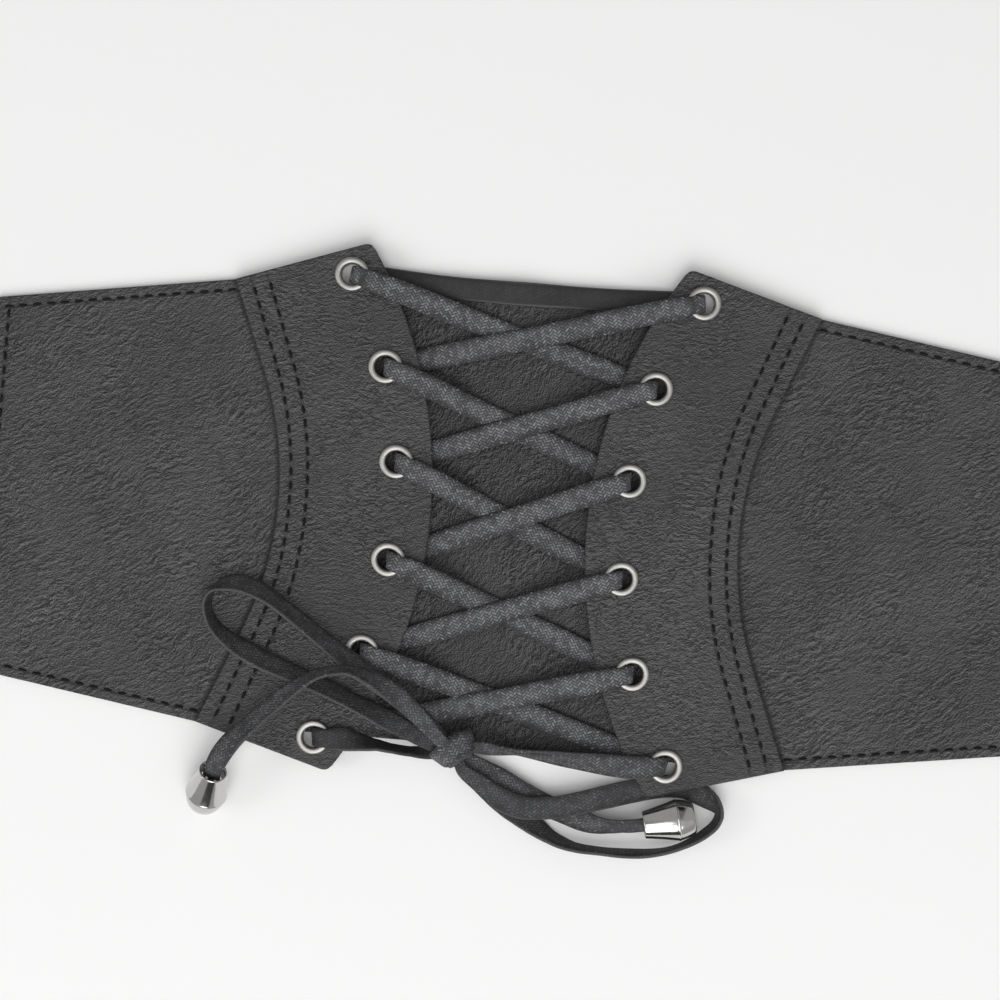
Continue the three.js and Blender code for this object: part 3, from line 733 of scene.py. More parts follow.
def pebbled_grain_group():
    """Leather grain: low folds drawn out along the hide and fine pebbles, with thin broken creases.
    Tone is painted light: lighter on the slopes that face the light side, and darker in the creases
    as painted shade."""
    tree, given = shader_group(
        "Pebbled grain",
        [("Vector", "Vector", None), ("Size", "Float", 1.2), ("Angle", "Float", 0.5),
         ("Stretch", "Float", 0.5)],
        ["Height", "Tone", "Patch"])
    size = given["Size"]

    def relief(place, spacing, detail, reach):
        """Height of soft bumps, and how far each slope rises towards the bumps' light side."""
        scale = calc(tree, "DIVIDE", spacing, size)
        reach = calc(tree, "MULTIPLY", size, reach)
        shift = vector_calc(tree, "SCALE", (0.0, -1.0, 0.0), Scale=reach)
        here = noise(tree, place, scale, detail)
        beside = noise(tree, vector_calc(tree, "ADD", place, shift), scale, detail)
        return here, calc(tree, "SUBTRACT", here, beside)

    place = vector_calc(tree, "SCALE", given["Vector"], Scale=1000.0)
    # The hide's direction bends slowly, and the folds sway a little across it
    bend = vector_calc(tree, "MULTIPLY", noise(tree, place, 0.04, 1.0, "Color"), (7.0, 7.0, 0.0))
    sway = vector_calc(tree, "MULTIPLY", noise(tree, place, 0.35, 2.0, "Color"), (1.8, 1.8, 0.0))
    flow = node(tree, "ShaderNodeVectorRotate", settings={"rotation_type": "Z_AXIS"},
                Vector=vector_calc(tree, "ADD", place, bend), Angle=given["Angle"]).outputs[0]
    drawn = node(tree, "ShaderNodeCombineXYZ", X=given["Stretch"], Y=1.0, Z=1.0).outputs[0]
    drawn = vector_calc(tree, "MULTIPLY", flow, drawn)
    folds = vector_calc(tree, "ADD", drawn, sway)
    fold, fold_light = relief(folds, spacing=0.8, detail=2.5, reach=0.36)
    pebble, pebble_light = relief(flow, spacing=1.9, detail=2.0, reach=0.17)
    # Folds are stronger in some places, and creases show where a fold's height is near its middle
    strong = step_between(tree, noise(tree, place, 0.07, 2.0), 0.38, 0.62, 0.45, 1.0)
    broken = step_between(tree, noise(tree, place, 0.4, 1.0), 0.36, 0.56)
    crease = calc(tree, "ABSOLUTE", calc(tree, "SUBTRACT", fold, 0.46))
    crease = step_between(tree, crease, 0.0, 0.045, 1.0, 0.0)
    crease = calc(tree, "MULTIPLY", crease, calc(tree, "MULTIPLY", strong, broken))
    height = calc(tree, "MULTIPLY_ADD", fold, 0.9, calc(tree, "MULTIPLY", pebble, 0.5))
    height = calc(tree, "MULTIPLY_ADD", crease, -0.25, height)
    # Painted light: slopes of the folds and pebbles that face the light side are made lighter
    tone = calc(tree, "MULTIPLY_ADD", calc(tree, "MULTIPLY", fold_light, strong), 2.7, 0.27)
    tone = calc(tree, "MULTIPLY_ADD", pebble_light, 3.6, tone)
    # Painted shade: the creases are darkened in the tone
    tone = calc(tree, "MULTIPLY_ADD", crease, -0.36, tone)
    patch = step_between(tree, noise(tree, place, 0.03, 2.0), 0.35, 0.7)
    return closed_group(tree, Height=height, Tone=tone, Patch=patch)


def stitch_line_group():
    """A shallow groove along sewn rows, from the signed distances to up to three rows."""
    tree, given = shader_group(
        "Stitch line", [("Rows", "Vector", None), ("Reach", "Float", 0.65)], ["Groove"])
    rows = node(tree, "ShaderNodeSeparateXYZ", (given["Rows"],)).outputs
    nearest = calc(tree, "ABSOLUTE", rows[0])
    for place in (1, 2):
        nearest = calc(tree, "MINIMUM", nearest, calc(tree, "ABSOLUTE", rows[place]))
    return closed_group(tree, Groove=step_between(tree, nearest, 0.1, given["Reach"], 1.0, 0.0))


def braid_group():
    """Flat braid: slanted yarns that each pass over two others, and painted glints on their crowns.
    The
    tone is painted light and shade: lighter on the crowns and along the middle, darker between the
    yarns and towards the edges. Route is the lace's UV map, in centimetres along and across it."""
    tree, given = shader_group(
        "Flat braid", [("Route", "Vector", None), ("Pitch", "Float", 0.8)],
        ["Height", "Tone", "Edge", "Speck"])
    place = node(tree, "ShaderNodeSeparateXYZ", (given["Route"],)).outputs
    along = calc(tree, "MULTIPLY", place[0], 10.0)
    across = calc(tree, "MULTIPLY", place[1], 10.0)
    slants, yarns, rounds = [], [], []
    for lean in (0.9, -0.9):
        slant = calc(tree, "MULTIPLY_ADD", along, 0.78, calc(tree, "MULTIPLY", across, lean))
        slant = calc(tree, "DIVIDE", slant, given["Pitch"])
        slants.append(slant)
        yarns.append(calc(tree, "FLOOR", slant))
        half_turn = calc(tree, "MULTIPLY", calc(tree, "FRACT", slant), math.pi)
        rounds.append(calc(tree, "SINE", half_turn))
    crossed = calc(tree, "ADD", *yarns)
    over = calc(tree, "LESS_THAN", calc(tree, "FLOORED_MODULO", crossed, 4.0), 2.0)
    floats = []
    for own, other, start in ((0, 1, 0.0), (1, 0, 2.0)):
        step = calc(tree, "SUBTRACT", calc(tree, "ADD", yarns[own], slants[other]), start)
        step = calc(tree, "FLOORED_MODULO", step, 4.0)
        step = calc(tree, "DIVIDE", step, 2.0, clamp=True)
        bow = calc(tree, "SINE", calc(tree, "MULTIPLY", step, math.pi))
        floats.append(calc(tree, "MULTIPLY", rounds[own], calc(tree, "POWER", bow, 0.4)))
    woven = node(tree, "ShaderNodeMix", (over, None, floats[1], floats[0])).outputs[0]
    # Each float of a yarn has its own lightness
    named = node(tree, "ShaderNodeMix", (over, None, yarns[1], yarns[0])).outputs[0]
    row = calc(tree, "FLOOR", calc(tree, "DIVIDE", crossed, 4.0))
    crossing = node(tree, "ShaderNodeCombineXYZ", X=named, Y=row, Z=over).outputs[0]
    own = node(tree, "ShaderNodeTexWhiteNoise", (crossing,), {"noise_dimensions": "3D"}).outputs[0]
    # Painted light and shade: each float is lighter on its crown and darker where it dips between
    # yarns, times its own lightness
    lit = calc(tree, "MULTIPLY_ADD", own, 0.9, 0.36)
    lit = calc(tree, "MULTIPLY", woven, lit)
    from_middle = calc(tree, "ABSOLUTE", across)
    # Painted sheen along the middle of the band, painted shade towards its edges
    middle = step_between(tree, from_middle, 0.8, 2.9, 1.12, 0.36)
    patches = step_between(tree, noise(tree, given["Route"], 3.0, 2.0), 0.3, 0.7, 0.75, 1.25)
    tone = calc(tree, "MULTIPLY_ADD", lit, 0.85, 0.16)
    tone = calc(tree, "MULTIPLY", tone, calc(tree, "MULTIPLY", middle, patches))
    # Painted glints: light specks only where the yarns' crowns are brightest
    glints = noise(tree, given["Route"], 9.0, 3.0, Roughness=0.7)
    glints = calc(tree, "MULTIPLY", step_between(tree, glints, 0.45, 0.68),
                  step_between(tree, lit, 0.5, 1.0))
    edge = step_between(tree, from_middle, 2.35, 2.8)
    return closed_group(tree, Height=woven, Tone=tone, Edge=edge, Speck=glints)


def ribbed_webbing_group():
    """Elastic webbing: ribs along the band, crossed by fine weft."""
    tree, given = shader_group(
        "Ribbed webbing", [("Vector", "Vector", None), ("Rib", "Float", 2.4)], ["Height", "Tone"])
    place = vector_calc(tree, "SCALE", given["Vector"], Scale=1000.0)
    parts = node(tree, "ShaderNodeSeparateXYZ", (place,)).outputs
    rib = calc(tree, "MULTIPLY", parts[1], calc(tree, "DIVIDE", 2 * math.pi, given["Rib"]))
    rib = calc(tree, "SINE", rib)
    weft = calc(tree, "MULTIPLY_ADD", parts[0], 6.5, calc(tree, "MULTIPLY", rib, 1.1))
    weft = calc(tree, "SINE", weft)
    fuzz = noise(tree, place, 1.7, 3.0)
    height = calc(tree, "MULTIPLY_ADD", rib, 0.5, calc(tree, "MULTIPLY", weft, 0.22))
    height = calc(tree, "MULTIPLY_ADD", fuzz, 0.3, height)
    return closed_group(tree, Height=height, Tone=calc(tree, "MULTIPLY_ADD", weft, 0.18, fuzz))


def handled_metal_group():
    """Faint handling marks on metal: uneven polish and a few hairlines."""
    tree, given = shader_group("Handled metal", [("Vector", "Vector", None)], ["Polish", "Height"])
    place = vector_calc(tree, "SCALE", given["Vector"], Scale=1000.0)
    drawn = vector_calc(tree, "MULTIPLY", place, (0.4, 3.0, 0.7))
    return closed_group(
        tree, Polish=noise(tree, place, 0.6, 4.0), Height=noise(tree, drawn, 2.2, 3.0))


def group_node(tree, name, maker, **named):
    """The outputs of a node that uses the named group, made the first time it is asked for."""
    group = bpy.data.node_groups.get(name) or maker()
    return node(tree, "ShaderNodeGroup", settings={"node_tree": group}, **named).outputs


def new_material(name, metallic=0.0, **values):
    """A material, its tree and its Principled node with uniform values set on their own sockets."""
    material = bpy.data.materials.new(name)
    material.use_nodes = True
    tree = material.node_tree
    shader = tree.nodes["Principled BSDF"]
    for key, value in {"Metallic": metallic, **values}.items():
        shader.inputs[key.replace("_", " ")].default_value = value
    return material, tree, shader


def finish_shader(tree, shader, colour, height, strength, distance, **values):
    """Links a colour and a height's bump to the Principled node, and other values to its inputs."""
    bump = node(tree, "ShaderNodeBump", Strength=strength, Distance=distance * MM, Height=height)
    tree.links.new(colour, shader.inputs["Base Color"])
    tree.links.new(bump.outputs[0], shader.inputs["Normal"])
    for key, value in values.items():
        tree.links.new(value, shader.inputs[key])


def object_place(tree):
    """Object coordinates, in metres."""
    return node(tree, "ShaderNodeTexCoord").outputs["Object"]


def attribute_of(tree, name, output="Fac"):
    """A point attribute that the mesh carries."""
    return node(tree, "ShaderNodeAttribute", settings={"attribute_name": name}).outputs[output]


def shaded(colour, factor):
    """A colour made lighter or darker, with its alpha."""
    return (*[c * factor for c in colour], 1.0)


def mixed(tree, share, low, high):
    """A colour between two others."""
    made = node(tree, "ShaderNodeMix", settings={"data_type": "RGBA"})
    for place, value in ((0, share), (6, low), (7, high)):
        feed(tree, made.inputs[place], value)
    return made.outputs[2]


def leather_material(name, colour, spec, angle, stretch, sheen=0.5, size=1.0):
    """Grained leather with a groove along its sewn rows, darker where a flap's edge shades it."""
    material, tree, shader = new_material(name, Specular_IOR_Level=sheen)
    grain = group_node(
        tree, "Pebbled grain", pebbled_grain_group, Vector=object_place(tree),
        Size=size * spec.grain / MM, Angle=angle, Stretch=stretch)
    groove = group_node(
        tree, "Stitch line", stitch_line_group, Rows=attribute_of(tree, "stitch_rows", "Vector"))[0]
    # The grain's tone brings its painted light and painted crease shade into the colour
    tone = calc(tree, "MULTIPLY_ADD", grain["Patch"], 0.1, grain["Tone"])
    base = mixed(tree, tone, shaded(colour, 0.12), shaded(colour, 1.95))
    # Painted shade: the colour darkens along the stitch grooves
    base = mixed(tree, calc(tree, "MULTIPLY", groove, 0.55), base, shaded(colour, 0.42))
    shade = step_between(tree, attribute_of(tree, "seam_distance"), 0.5, 1.5, 0.92, 0.0)
    base = mixed(tree, shade, base, shaded(colour, 0.16))
    rough = calc(tree, "MULTIPLY_ADD", grain["Tone"], -0.12, 0.66)
    rough = calc(tree, "MULTIPLY_ADD", grain["Patch"], -0.06, rough)
    height = calc(tree, "MULTIPLY_ADD", groove, -0.6, grain["Height"])
    finish_shader(tree, shader, base, height, 0.9, 0.34, Roughness=rough)
    return material


def braid_material(name, spec):
    """Waxed flat braid: matt and dark where it is dull, which on the bow is painted shade for faces
    turned from the light, with painted glints where it shines.
    """
    colour = spec.colour
    material, tree, shader = new_material(name, Roughness=0.7, Specular_IOR_Level=0.4)
    route = node(tree, "ShaderNodeUVMap", settings={"uv_map": "Along"}).outputs[0]
    weave = group_node(tree, "Flat braid", braid_group, Route=route)
    dull_and_shade = attribute_of(tree, "dull_and_shade")
    shine = calc(tree, "SUBTRACT", 1.0, dull_and_shade)
    # The weave's tone brings its painted light and shade into the colour
    base = mixed(tree, weave["Tone"], shaded(colour, 0.1), shaded(colour, 2.55))
    # Painted shade: the dullness value darkens faces of the bow turned from the light, and the
    # smooth top bar in its own right
    base = mixed(tree, calc(tree, "MULTIPLY", dull_and_shade, 0.9), base, shaded(colour, 0.24))
    # Lighter edge line: partly the edge yarns' own lightness, partly a painted highlight where the
    # raised edge catches the light
    edge = calc(tree, "MULTIPLY", weave["Edge"], calc(tree, "MULTIPLY_ADD", dull_and_shade, 0.7, 0.1))
    base = mixed(tree, edge, base, shaded(colour, 1.2))
    # Painted glints on the yarn crowns, where the braid is not dulled
    glint = calc(tree, "MULTIPLY", calc(tree, "MULTIPLY", weave["Speck"], 0.8), shine)
    base = mixed(tree, glint, base, shaded(colour, 4.2))
    lift = calc(tree, "MULTIPLY_ADD", shine, 0.75, 0.25)
    lift = calc(tree, "MULTIPLY", weave["Height"], lift)
    finish_shader(tree, shader, base, lift, 0.8, 0.22)
    return material


def webbing_material(name, colour, rib):
    """Matt woven webbing, its ribs that many millimetres apart."""
    material, tree, shader = new_material(name, Roughness=0.85)
    weave = group_node(
        tree, "Ribbed webbing", ribbed_webbing_group, Vector=object_place(tree), Rib=rib)
    base = mixed(tree, weave["Tone"], shaded(colour, 0.5), shaded(colour, 1.6))
    finish_shader(tree, shader, base, weave["Height"], 1.0, 0.4)
    return material


def thread_material(name, colour):
    """Sewing thread, faintly uneven along its twist."""
    material, tree, shader = new_material(name, Roughness=0.8, Specular_IOR_Level=0.2)
    twist = noise(tree, object_place(tree), 2600.0, 1.0)
    base = mixed(tree, twist, shaded(colour, 0.5), shaded(colour, 2.0))
    tree.links.new(base, shader.inputs["Base Color"])
    return material


def metal_material(name, colour, roughness):
    """Plated metal with faint marks of handling."""
    material, tree, shader = new_material(name, metallic=1.0)
    marks = group_node(tree, "Handled metal", handled_metal_group, Vector=object_place(tree))
    base = mixed(tree, marks["Polish"], shaded(colour, 0.88), shaded(colour, 1.08))
    rough = calc(tree, "MULTIPLY_ADD", marks["Polish"], 0.1, roughness - 0.05, clamp=True)
    finish_shader(tree, shader, base, marks["Height"], 0.15, 0.02, Roughness=rough)
    return material


# Turned pieces, knot and stitches
def lathe(name, profile, sides, place):
    """A closed turned piece: profile is (radius, along) in mm, and place puts (x, y, along) into
    the belt's frame. Points of radius 0 are its poles."""
    points, rings = [], []
    turn = 2 * math.pi * np.arange(sides) / sides
    for radius, along in profile:
        count = sides if radius else 1
        rings.append(list(range(len(points), len(points) + count)))
        if radius:
            ring = (radius * np.cos(turn), radius * np.sin(turn), np.full(sides, along))
            points += np.stack(ring, -1).tolist()
        else:
            points.append((0, 0, along))
    loop = list(zip(rings, rings[1:]))
    if len(rings[0]) > 1:
        loop.append((rings[-1], rings[0]))
    faces = []
    for a, b in loop:
        for k in range(sides):
            n = (k + 1) % sides
            corners = [a[k % len(a)], a[n % len(a)], b[n % len(b)], b[k % len(b)]]
            corners = [c for i, c in enumerate(corners) if c != corners[i - 1]]
            if len(corners) > 2:
                faces.append(tuple(corners))
    obj = mesh_object(name, [tuple(place @ Vector(p)) for p in points], faces)
    outwards(obj)
    return obj


def outwards(obj):
    """Turns a closed mesh's faces outwards."""
    mesh = bmesh.new()
    mesh.from_mesh(obj.data)
    bmesh.ops.recalc_face_normals(mesh, faces=mesh.faces)
    if mesh.calc_volume(signed=True) < 0:
        bmesh.ops.reverse_faces(mesh, faces=mesh.faces)
    mesh.to_mesh(obj.data)
    mesh.free()


def joined(name, objects):
    """One object from several, its material and UV map kept."""
    with bpy.context.temp_override(
        active_object=objects[0], object=objects[0], selected_objects=objects,
        selected_editable_objects=objects,
    ):
        bpy.ops.object.join()
    objects[0].name = name
    return objects[0]


def eyelet_profile():
    """Front flange rolled over like a ring, barrel, and the flat washer behind."""
    back, front = -EYELET_SEAT, FLAP_THICKNESS + EYELET_SEAT
    behind = back - EYELET_BACK
    inner, outer = EYELET_HOLE_RADIUS - 0.25, EYELET_FLANGE_RADIUS
    middle, half = (inner + outer) / 2, (outer - inner) / 2
    roll = []
    for t in np.linspace(math.pi, 0, 19):
        out = math.copysign(abs(math.cos(t)) ** 0.8, math.cos(t))
        roll.append((middle + half * out, front + 0.1 + (EYELET_DOME - 0.1) * math.sin(t) ** 0.75))
    washer = EYELET_FLANGE_RADIUS - 0.2
    return [
        (inner, behind + 0.12), (inner, (back + front) / 2), *roll, (EYELET_FLANGE_RADIUS, front),
        (EYELET_BARREL_RADIUS, front), (EYELET_BARREL_RADIUS, back), (washer, back),
        (washer, behind + 0.08), (washer - 0.1, behind), (inner + 0.12, behind),
    ]


def tip_profile():
    """The bell of a lace tip: far end first, band, ridge, cone, mouth, and the lace's socket."""
    far = [(0, 13), (1.8, 13), (3.3, 12.98), (3.72, 12.9), (3.98, 12.7), (4.14, 12.4)]
    band = [(4.3, 12), (4.58, 11.3), (4.82, 10.5), (4.98, 9.7), (5.06, 9.2), (5.08, 9.02)]
    ridge = [(5.1, 8.94), (5.2, 8.86), (5.25, 8.7), (5.23, 8.52), (5.16, 8.36)]
    cone = [(5.06, 8), (4.7, 6.4), (4.3, 4.5), (3.9, 2.5), (3.62, 1), (3.54, 0.5)]
    mouth = [(3.5, 0.2), (3.42, 0.05), (3.3, 0), (3.16, 0.05), (2.95, 0.4), (2.8, 0.9)]
    return far + band + ridge + cone + mouth + [(2.8, 5), (0, 5)]


def tip_place(place):
    """From a tip's own axis to its place on the end of the lace."""
    heading, drop = math.radians(place["heading"]), math.radians(place["drop"])
    level_x, level_y = math.cos(drop) * math.cos(heading), math.cos(drop) * math.sin(heading)
    axis = Vector((level_x, level_y, -math.sin(drop)))
    return Matrix.Translation(place["mouth"]) @ axis.to_track_quat("Z", "Y").to_matrix().to_4x4()


def knot_piece(spec):
    """The tight knot: a wide fold of the braid drawn over a bunched core, with a narrower fold
    tucked in on each side."""
    centre = np.array(KNOT_CENTRE)
    along = np.array([math.cos(KNOT_TURN), math.sin(KNOT_TURN), 0])
    across = square_to(along)
    up = np.array([0.0, 0.0, 1.0])
    turns = np.radians(np.arange(0, 360, 10))
    strips = []
    for seed, (shift, reach, rise, lean, width, slip) in enumerate(KNOT_FOLDS):
        ring, directions = [], []
        for t in turns:
            out = along * math.cos(t) + up * math.sin(t)
            sway = across * (shift - slip * math.cos(t) * 0.35 + 0.3 * math.sin(t + 0.5))
            ring.append(centre + along * reach * math.cos(t) + up * rise * math.sin(t) + sway)
            tilt = math.radians(lean) * (0.6 + 0.4 * math.sin(t))
            skew = along * (0.3 * slip * math.cos(t))
            directions.append(across * math.cos(tilt) - out * math.sin(tilt) + skew)
        widths = [width * (1 - 0.16 * math.cos(t) ** 2) for t in turns]
        strip, _ = braid(
            "knot fold", ring, directions, widths, spec, seed=seed, closed=True, dull_and_shade=0.3)
        strips.append(strip)
    for shift, tilt in ((-1.0, 0.12), (1.0, -0.1)):
        line = [
            centre + across * s * 3.7 + along * (shift + tilt * s * 3) + up * (0.2 - 0.8 * s * s)
            for s in np.linspace(-1, 1, 9)
        ]
        facing = [along * 0.8 + up * 0.6] * len(line)
        # Painted shade: the bunched core under the folds gets a higher dullness value, so it is
        # darker than the folds
        strip, _ = braid("knot core", line, facing, [4.4] * len(line), spec, seed=shift, dull_and_shade=0.6)
        strips.append(strip)
    return joined("bow_knot_braid", strips)


def stitch_nodes(spec, material):
    """Geometry Nodes that lay stitches along the edges of a mesh of rows."""
    tree = bpy.data.node_groups.new("Stitches", "GeometryNodeTree")
    for way, label, kind, value in (
        ("INPUT", "Rows", "Geometry", None),
        ("INPUT", "Pitch", "Float", spec.pitch),
        ("INPUT", "Length", "Float", spec.length),
        ("INPUT", "Thickness", "Float", spec.thickness),
        ("INPUT", "Seed", "Int", 4),
        ("INPUT", "Thread", "Material", material),
        ("OUTPUT", "Stitches", "Geometry", None),
    ):
        made = tree.interface.new_socket(label, in_out=way, socket_type=f"NodeSocket{kind}")
        if value is not None:
            made.default_value = value
    give = tree.nodes.new("NodeGroupInput").outputs
    curve = node(tree, "GeometryNodeMeshToCurve", (give["Rows"],)).outputs[0]
    even = node(tree, "GeometryNodeResampleCurve", settings={"mode": "LENGTH"}, Curve=curve,
                Length=give["Pitch"])
    tangent = node(tree, "GeometryNodeInputTangent").outputs[0]
    aim = node(tree, "FunctionNodeAlignRotationToVector", settings={"axis": "X"}, Vector=tangent)
    sway = node(tree, "FunctionNodeRandomValue", ((-0.03, -0.03, -0.07), (0.03, 0.03, 0.07)),
                {"data_type": "FLOAT_VECTOR"}, Seed=give["Seed"])
    turned = node(tree, "FunctionNodeRotateRotation", (aim.outputs[0], sway.outputs[0]),
                  {"rotation_space": "LOCAL"})
    bead = node(tree, "GeometryNodeMeshUVSphere", Segments=12, Rings=8, Radius=0.5)
    size = node(tree, "ShaderNodeCombineXYZ", X=give["Length"], Y=give["Thickness"],
                Z=give["Thickness"])
    shaped = node(tree, "GeometryNodeTransform", Geometry=bead.outputs[0], Scale=size.outputs[0])
    placed = node(tree, "GeometryNodeInstanceOnPoints", Points=even.outputs[0],
                  Instance=shaped.outputs[0], Rotation=turned.outputs[0])
    real = node(tree, "GeometryNodeRealizeInstances", (placed.outputs[0],))
    smooth = node(tree, "GeometryNodeSetShadeSmooth", (real.outputs[0],))
    dressed = node(tree, "GeometryNodeSetMaterial", Geometry=smooth.outputs[0],
                   Material=give["Thread"])
    node(tree, "NodeGroupOutput", (dressed.outputs[0],))
    return tree


def baked(obj):
    """The object with its modifiers' result as its own plain mesh."""
    depsgraph = bpy.context.evaluated_depsgraph_get()
    mesh = bpy.data.meshes.new_from_object(obj.evaluated_get(depsgraph), depsgraph=depsgraph)
    obj.modifiers.clear()
    obj.data = mesh
    return obj


def sewn(name, rows, spec, material, seed):
    """Stitches along rows, which are lists of points in millimetres."""
    points = [p for row in rows for p in row]
    edges, start = [], 0
    for row in rows:
        edges += [(start + i, start + i + 1) for i in range(len(row) - 1)]
        start += len(row)
    mesh = bpy.data.meshes.new(name)
    mesh.from_pydata((np.array(points, float) * MM).tolist(), edges, [])
    obj = bpy.data.objects.new(name, mesh)
    bpy.context.scene.collection.objects.link(obj)
    tree = bpy.data.node_groups.get("Stitches") or stitch_nodes(spec, material)
    modifier = obj.modifiers.new("Stitches", "NODES")
    modifier.node_group = tree
    values = {"Pitch": spec.pitch, "Length": spec.length, "Thickness": spec.thickness,
              "Seed": seed, "Thread": material}
    for socket in tree.interface.items_tree:
        if socket.item_type == "SOCKET" and socket.name in values:
            modifier[socket.identifier] = values[socket.name]
    return baked(obj)


def laid_on(obj, line):
    """The line's x, y points, just above the piece that they lie on."""
    tree = BVHTree.FromPolygons(
        [v.co for v in obj.data.vertices], [p.vertices for p in obj.data.polygons])
    out = []
    for x, y in line:
        hit, *_ = tree.ray_cast(Vector((x * MM, y * MM, 0.1)), Vector((0, 0, -1)))
        if hit is None:
            raise RuntimeError(f"no surface under the stitches of {obj.name} at {x:.1f}, {y:.1f}")
        out.append((x, y, hit.z / MM + STITCH_LIFT))
    return out


def seam_slope(y):
    """How fast a flap's outer edge runs outwards as it runs up the belt."""
    return (seam_x(y + 0.01) - seam_x(y - 0.01)) / 0.02


def from_seam(x, y):
    """Distance inwards from a flap's outer edge."""
    return (seam_x(y) - np.abs(x)) / np.sqrt(1 + seam_slope(y) ** 2)


def panel_edges(name, x):
    """Heights of a side panel's bottom and top edge at a distance from the belt's middle."""
    to_end = PANEL_END_X - np.abs(x)
    edges = []
    for at_seam, at_end in zip(SEAM_ENDS[name], PANEL_ENDS[name]):
        length = PANEL_END_X - float(seam_x(at_seam))
        edges.append(at_end + to_end * (at_seam - at_end) / length)
    return edges


def flap_row_lines(name, side):
    """The two sewn rows inside a flap's outer edge."""
    low, high = SEAM_ENDS[name]
    y = np.linspace(low + ROW_END, high - ROW_END, 81)
    slope = seam_slope(y)
    lines = []
    for offset in FLAP_ROWS:
        inward = (offset + ROW_SPREAD * np.abs(y)) / np.sqrt(1 + slope**2)
        lines.append(list(zip(side * (seam_x(y) - inward), y + inward * slope)))
    return lines


def panel_row_lines(name, side):
    """The sewn rows along a side panel's bottom, top and end."""
    end = PANEL_END_X - PANEL_END_ROW
    lines = []
    for edge, inset in enumerate((PANEL_ROW, -PANEL_ROW)):
        x = np.linspace(float(seam_x(SEAM_ENDS[name][edge])) + PANEL_ROW_START, end, 40)
        lines.append(list(zip(side * x, panel_edges(name, x)[edge] + inset)))
    bottom, top = panel_edges(name, end)
    gap = PANEL_ROW + END_ROW_GAP
    return [*lines, [(side * end, y) for y in np.linspace(bottom + gap, top - gap, 40)]]


def border_line(x0, x1, half_height, inset):
    """A sewn rectangle inside a tab's edges."""
    a, b, h = x0 + inset, x1 - inset, half_height - inset
    corners = [(a, -h), (b, -h), (b, h), (a, h), (a, -h)]
    line = []
    for (x2, y2), (x3, y3) in zip(corners, corners[1:]):
        for t in np.arange(0, 1, 0.1):
            line.append((x2 + (x3 - x2) * t, y2 + (y3 - y2) * t))
    return line + [corners[0]]


def row_distances(obj, kind, name=None):
    """Gives each point its signed distances in mm to up to three sewn rows, for the shader's
    grooves, and on a side panel its distance from the flap's edge, for the shade beside it."""
    p = np.empty(len(obj.data.vertices) * 3)
    obj.data.vertices.foreach_get("co", p)
    x, y, _ = p.reshape(-1, 3).T / MM
    out = np.abs(x)
    rows = [np.full(len(x), FAR)] * 3
    from_edge = rows[0]
    if kind == "flap":
        inward = from_seam(x, y) - ROW_SPREAD * np.abs(y)
        rows[:2] = [inward - offset for offset in FLAP_ROWS]
    elif kind == "panel":
        bottom, top = panel_edges(name, x)
        rows = [y - bottom - PANEL_ROW, top - y - PANEL_ROW, PANEL_END_X - PANEL_END_ROW - out]
        from_edge = np.maximum(-from_seam(x, y), 0)
    elif kind == "tab":
        rows = [out - TAB_START_X - TAB_ROW, BELT_END_X - TAB_ROW - out,
                TAB_HALF_HEIGHT - TAB_ROW - np.abs(y)]
    point_attribute(obj, "stitch_rows", np.stack(rows, -1))
    point_attribute(obj, "seam_distance", from_edge)


def cylinders(name, places, radius, low, high, sides=32):
    """Upright cylinders, as one object."""
    turn = 2 * math.pi * np.arange(sides) / sides
    ring = list(zip(np.cos(turn), np.sin(turn)))
    points, faces = [], []
    for x, y in places:
        k = len(points)
        points += [(x + radius * c, y + radius * s, z) for z in (low, high) for c, s in ring]
        faces += [tuple(range(k, k + sides))[::-1], tuple(range(k + sides, k + 2 * sides))]
        for i in range(sides):
            n = (i + 1) % sides
            faces.append((k + i, k + n, k + sides + n, k + sides + i))
    return mesh_object(name, points, faces, smooth=False)


def pierced(obj, places, radius):
    """Cuts round holes right through a piece."""
    cutter = cylinders("cutter", places, radius, -5, 15)
    modifier = obj.modifiers.new("Holes", "BOOLEAN")
    modifier.operation, modifier.object, modifier.solver = "DIFFERENCE", cutter, "EXACT"
    baked(obj)
    mesh = cutter.data
    bpy.data.objects.remove(cutter)
    bpy.data.meshes.remove(mesh)
    return obj


def material_of(maker, name, *values, **named):
    """The named material, made the first time that it is asked for."""
    return bpy.data.materials.get(name) or maker(name, *values, **named)


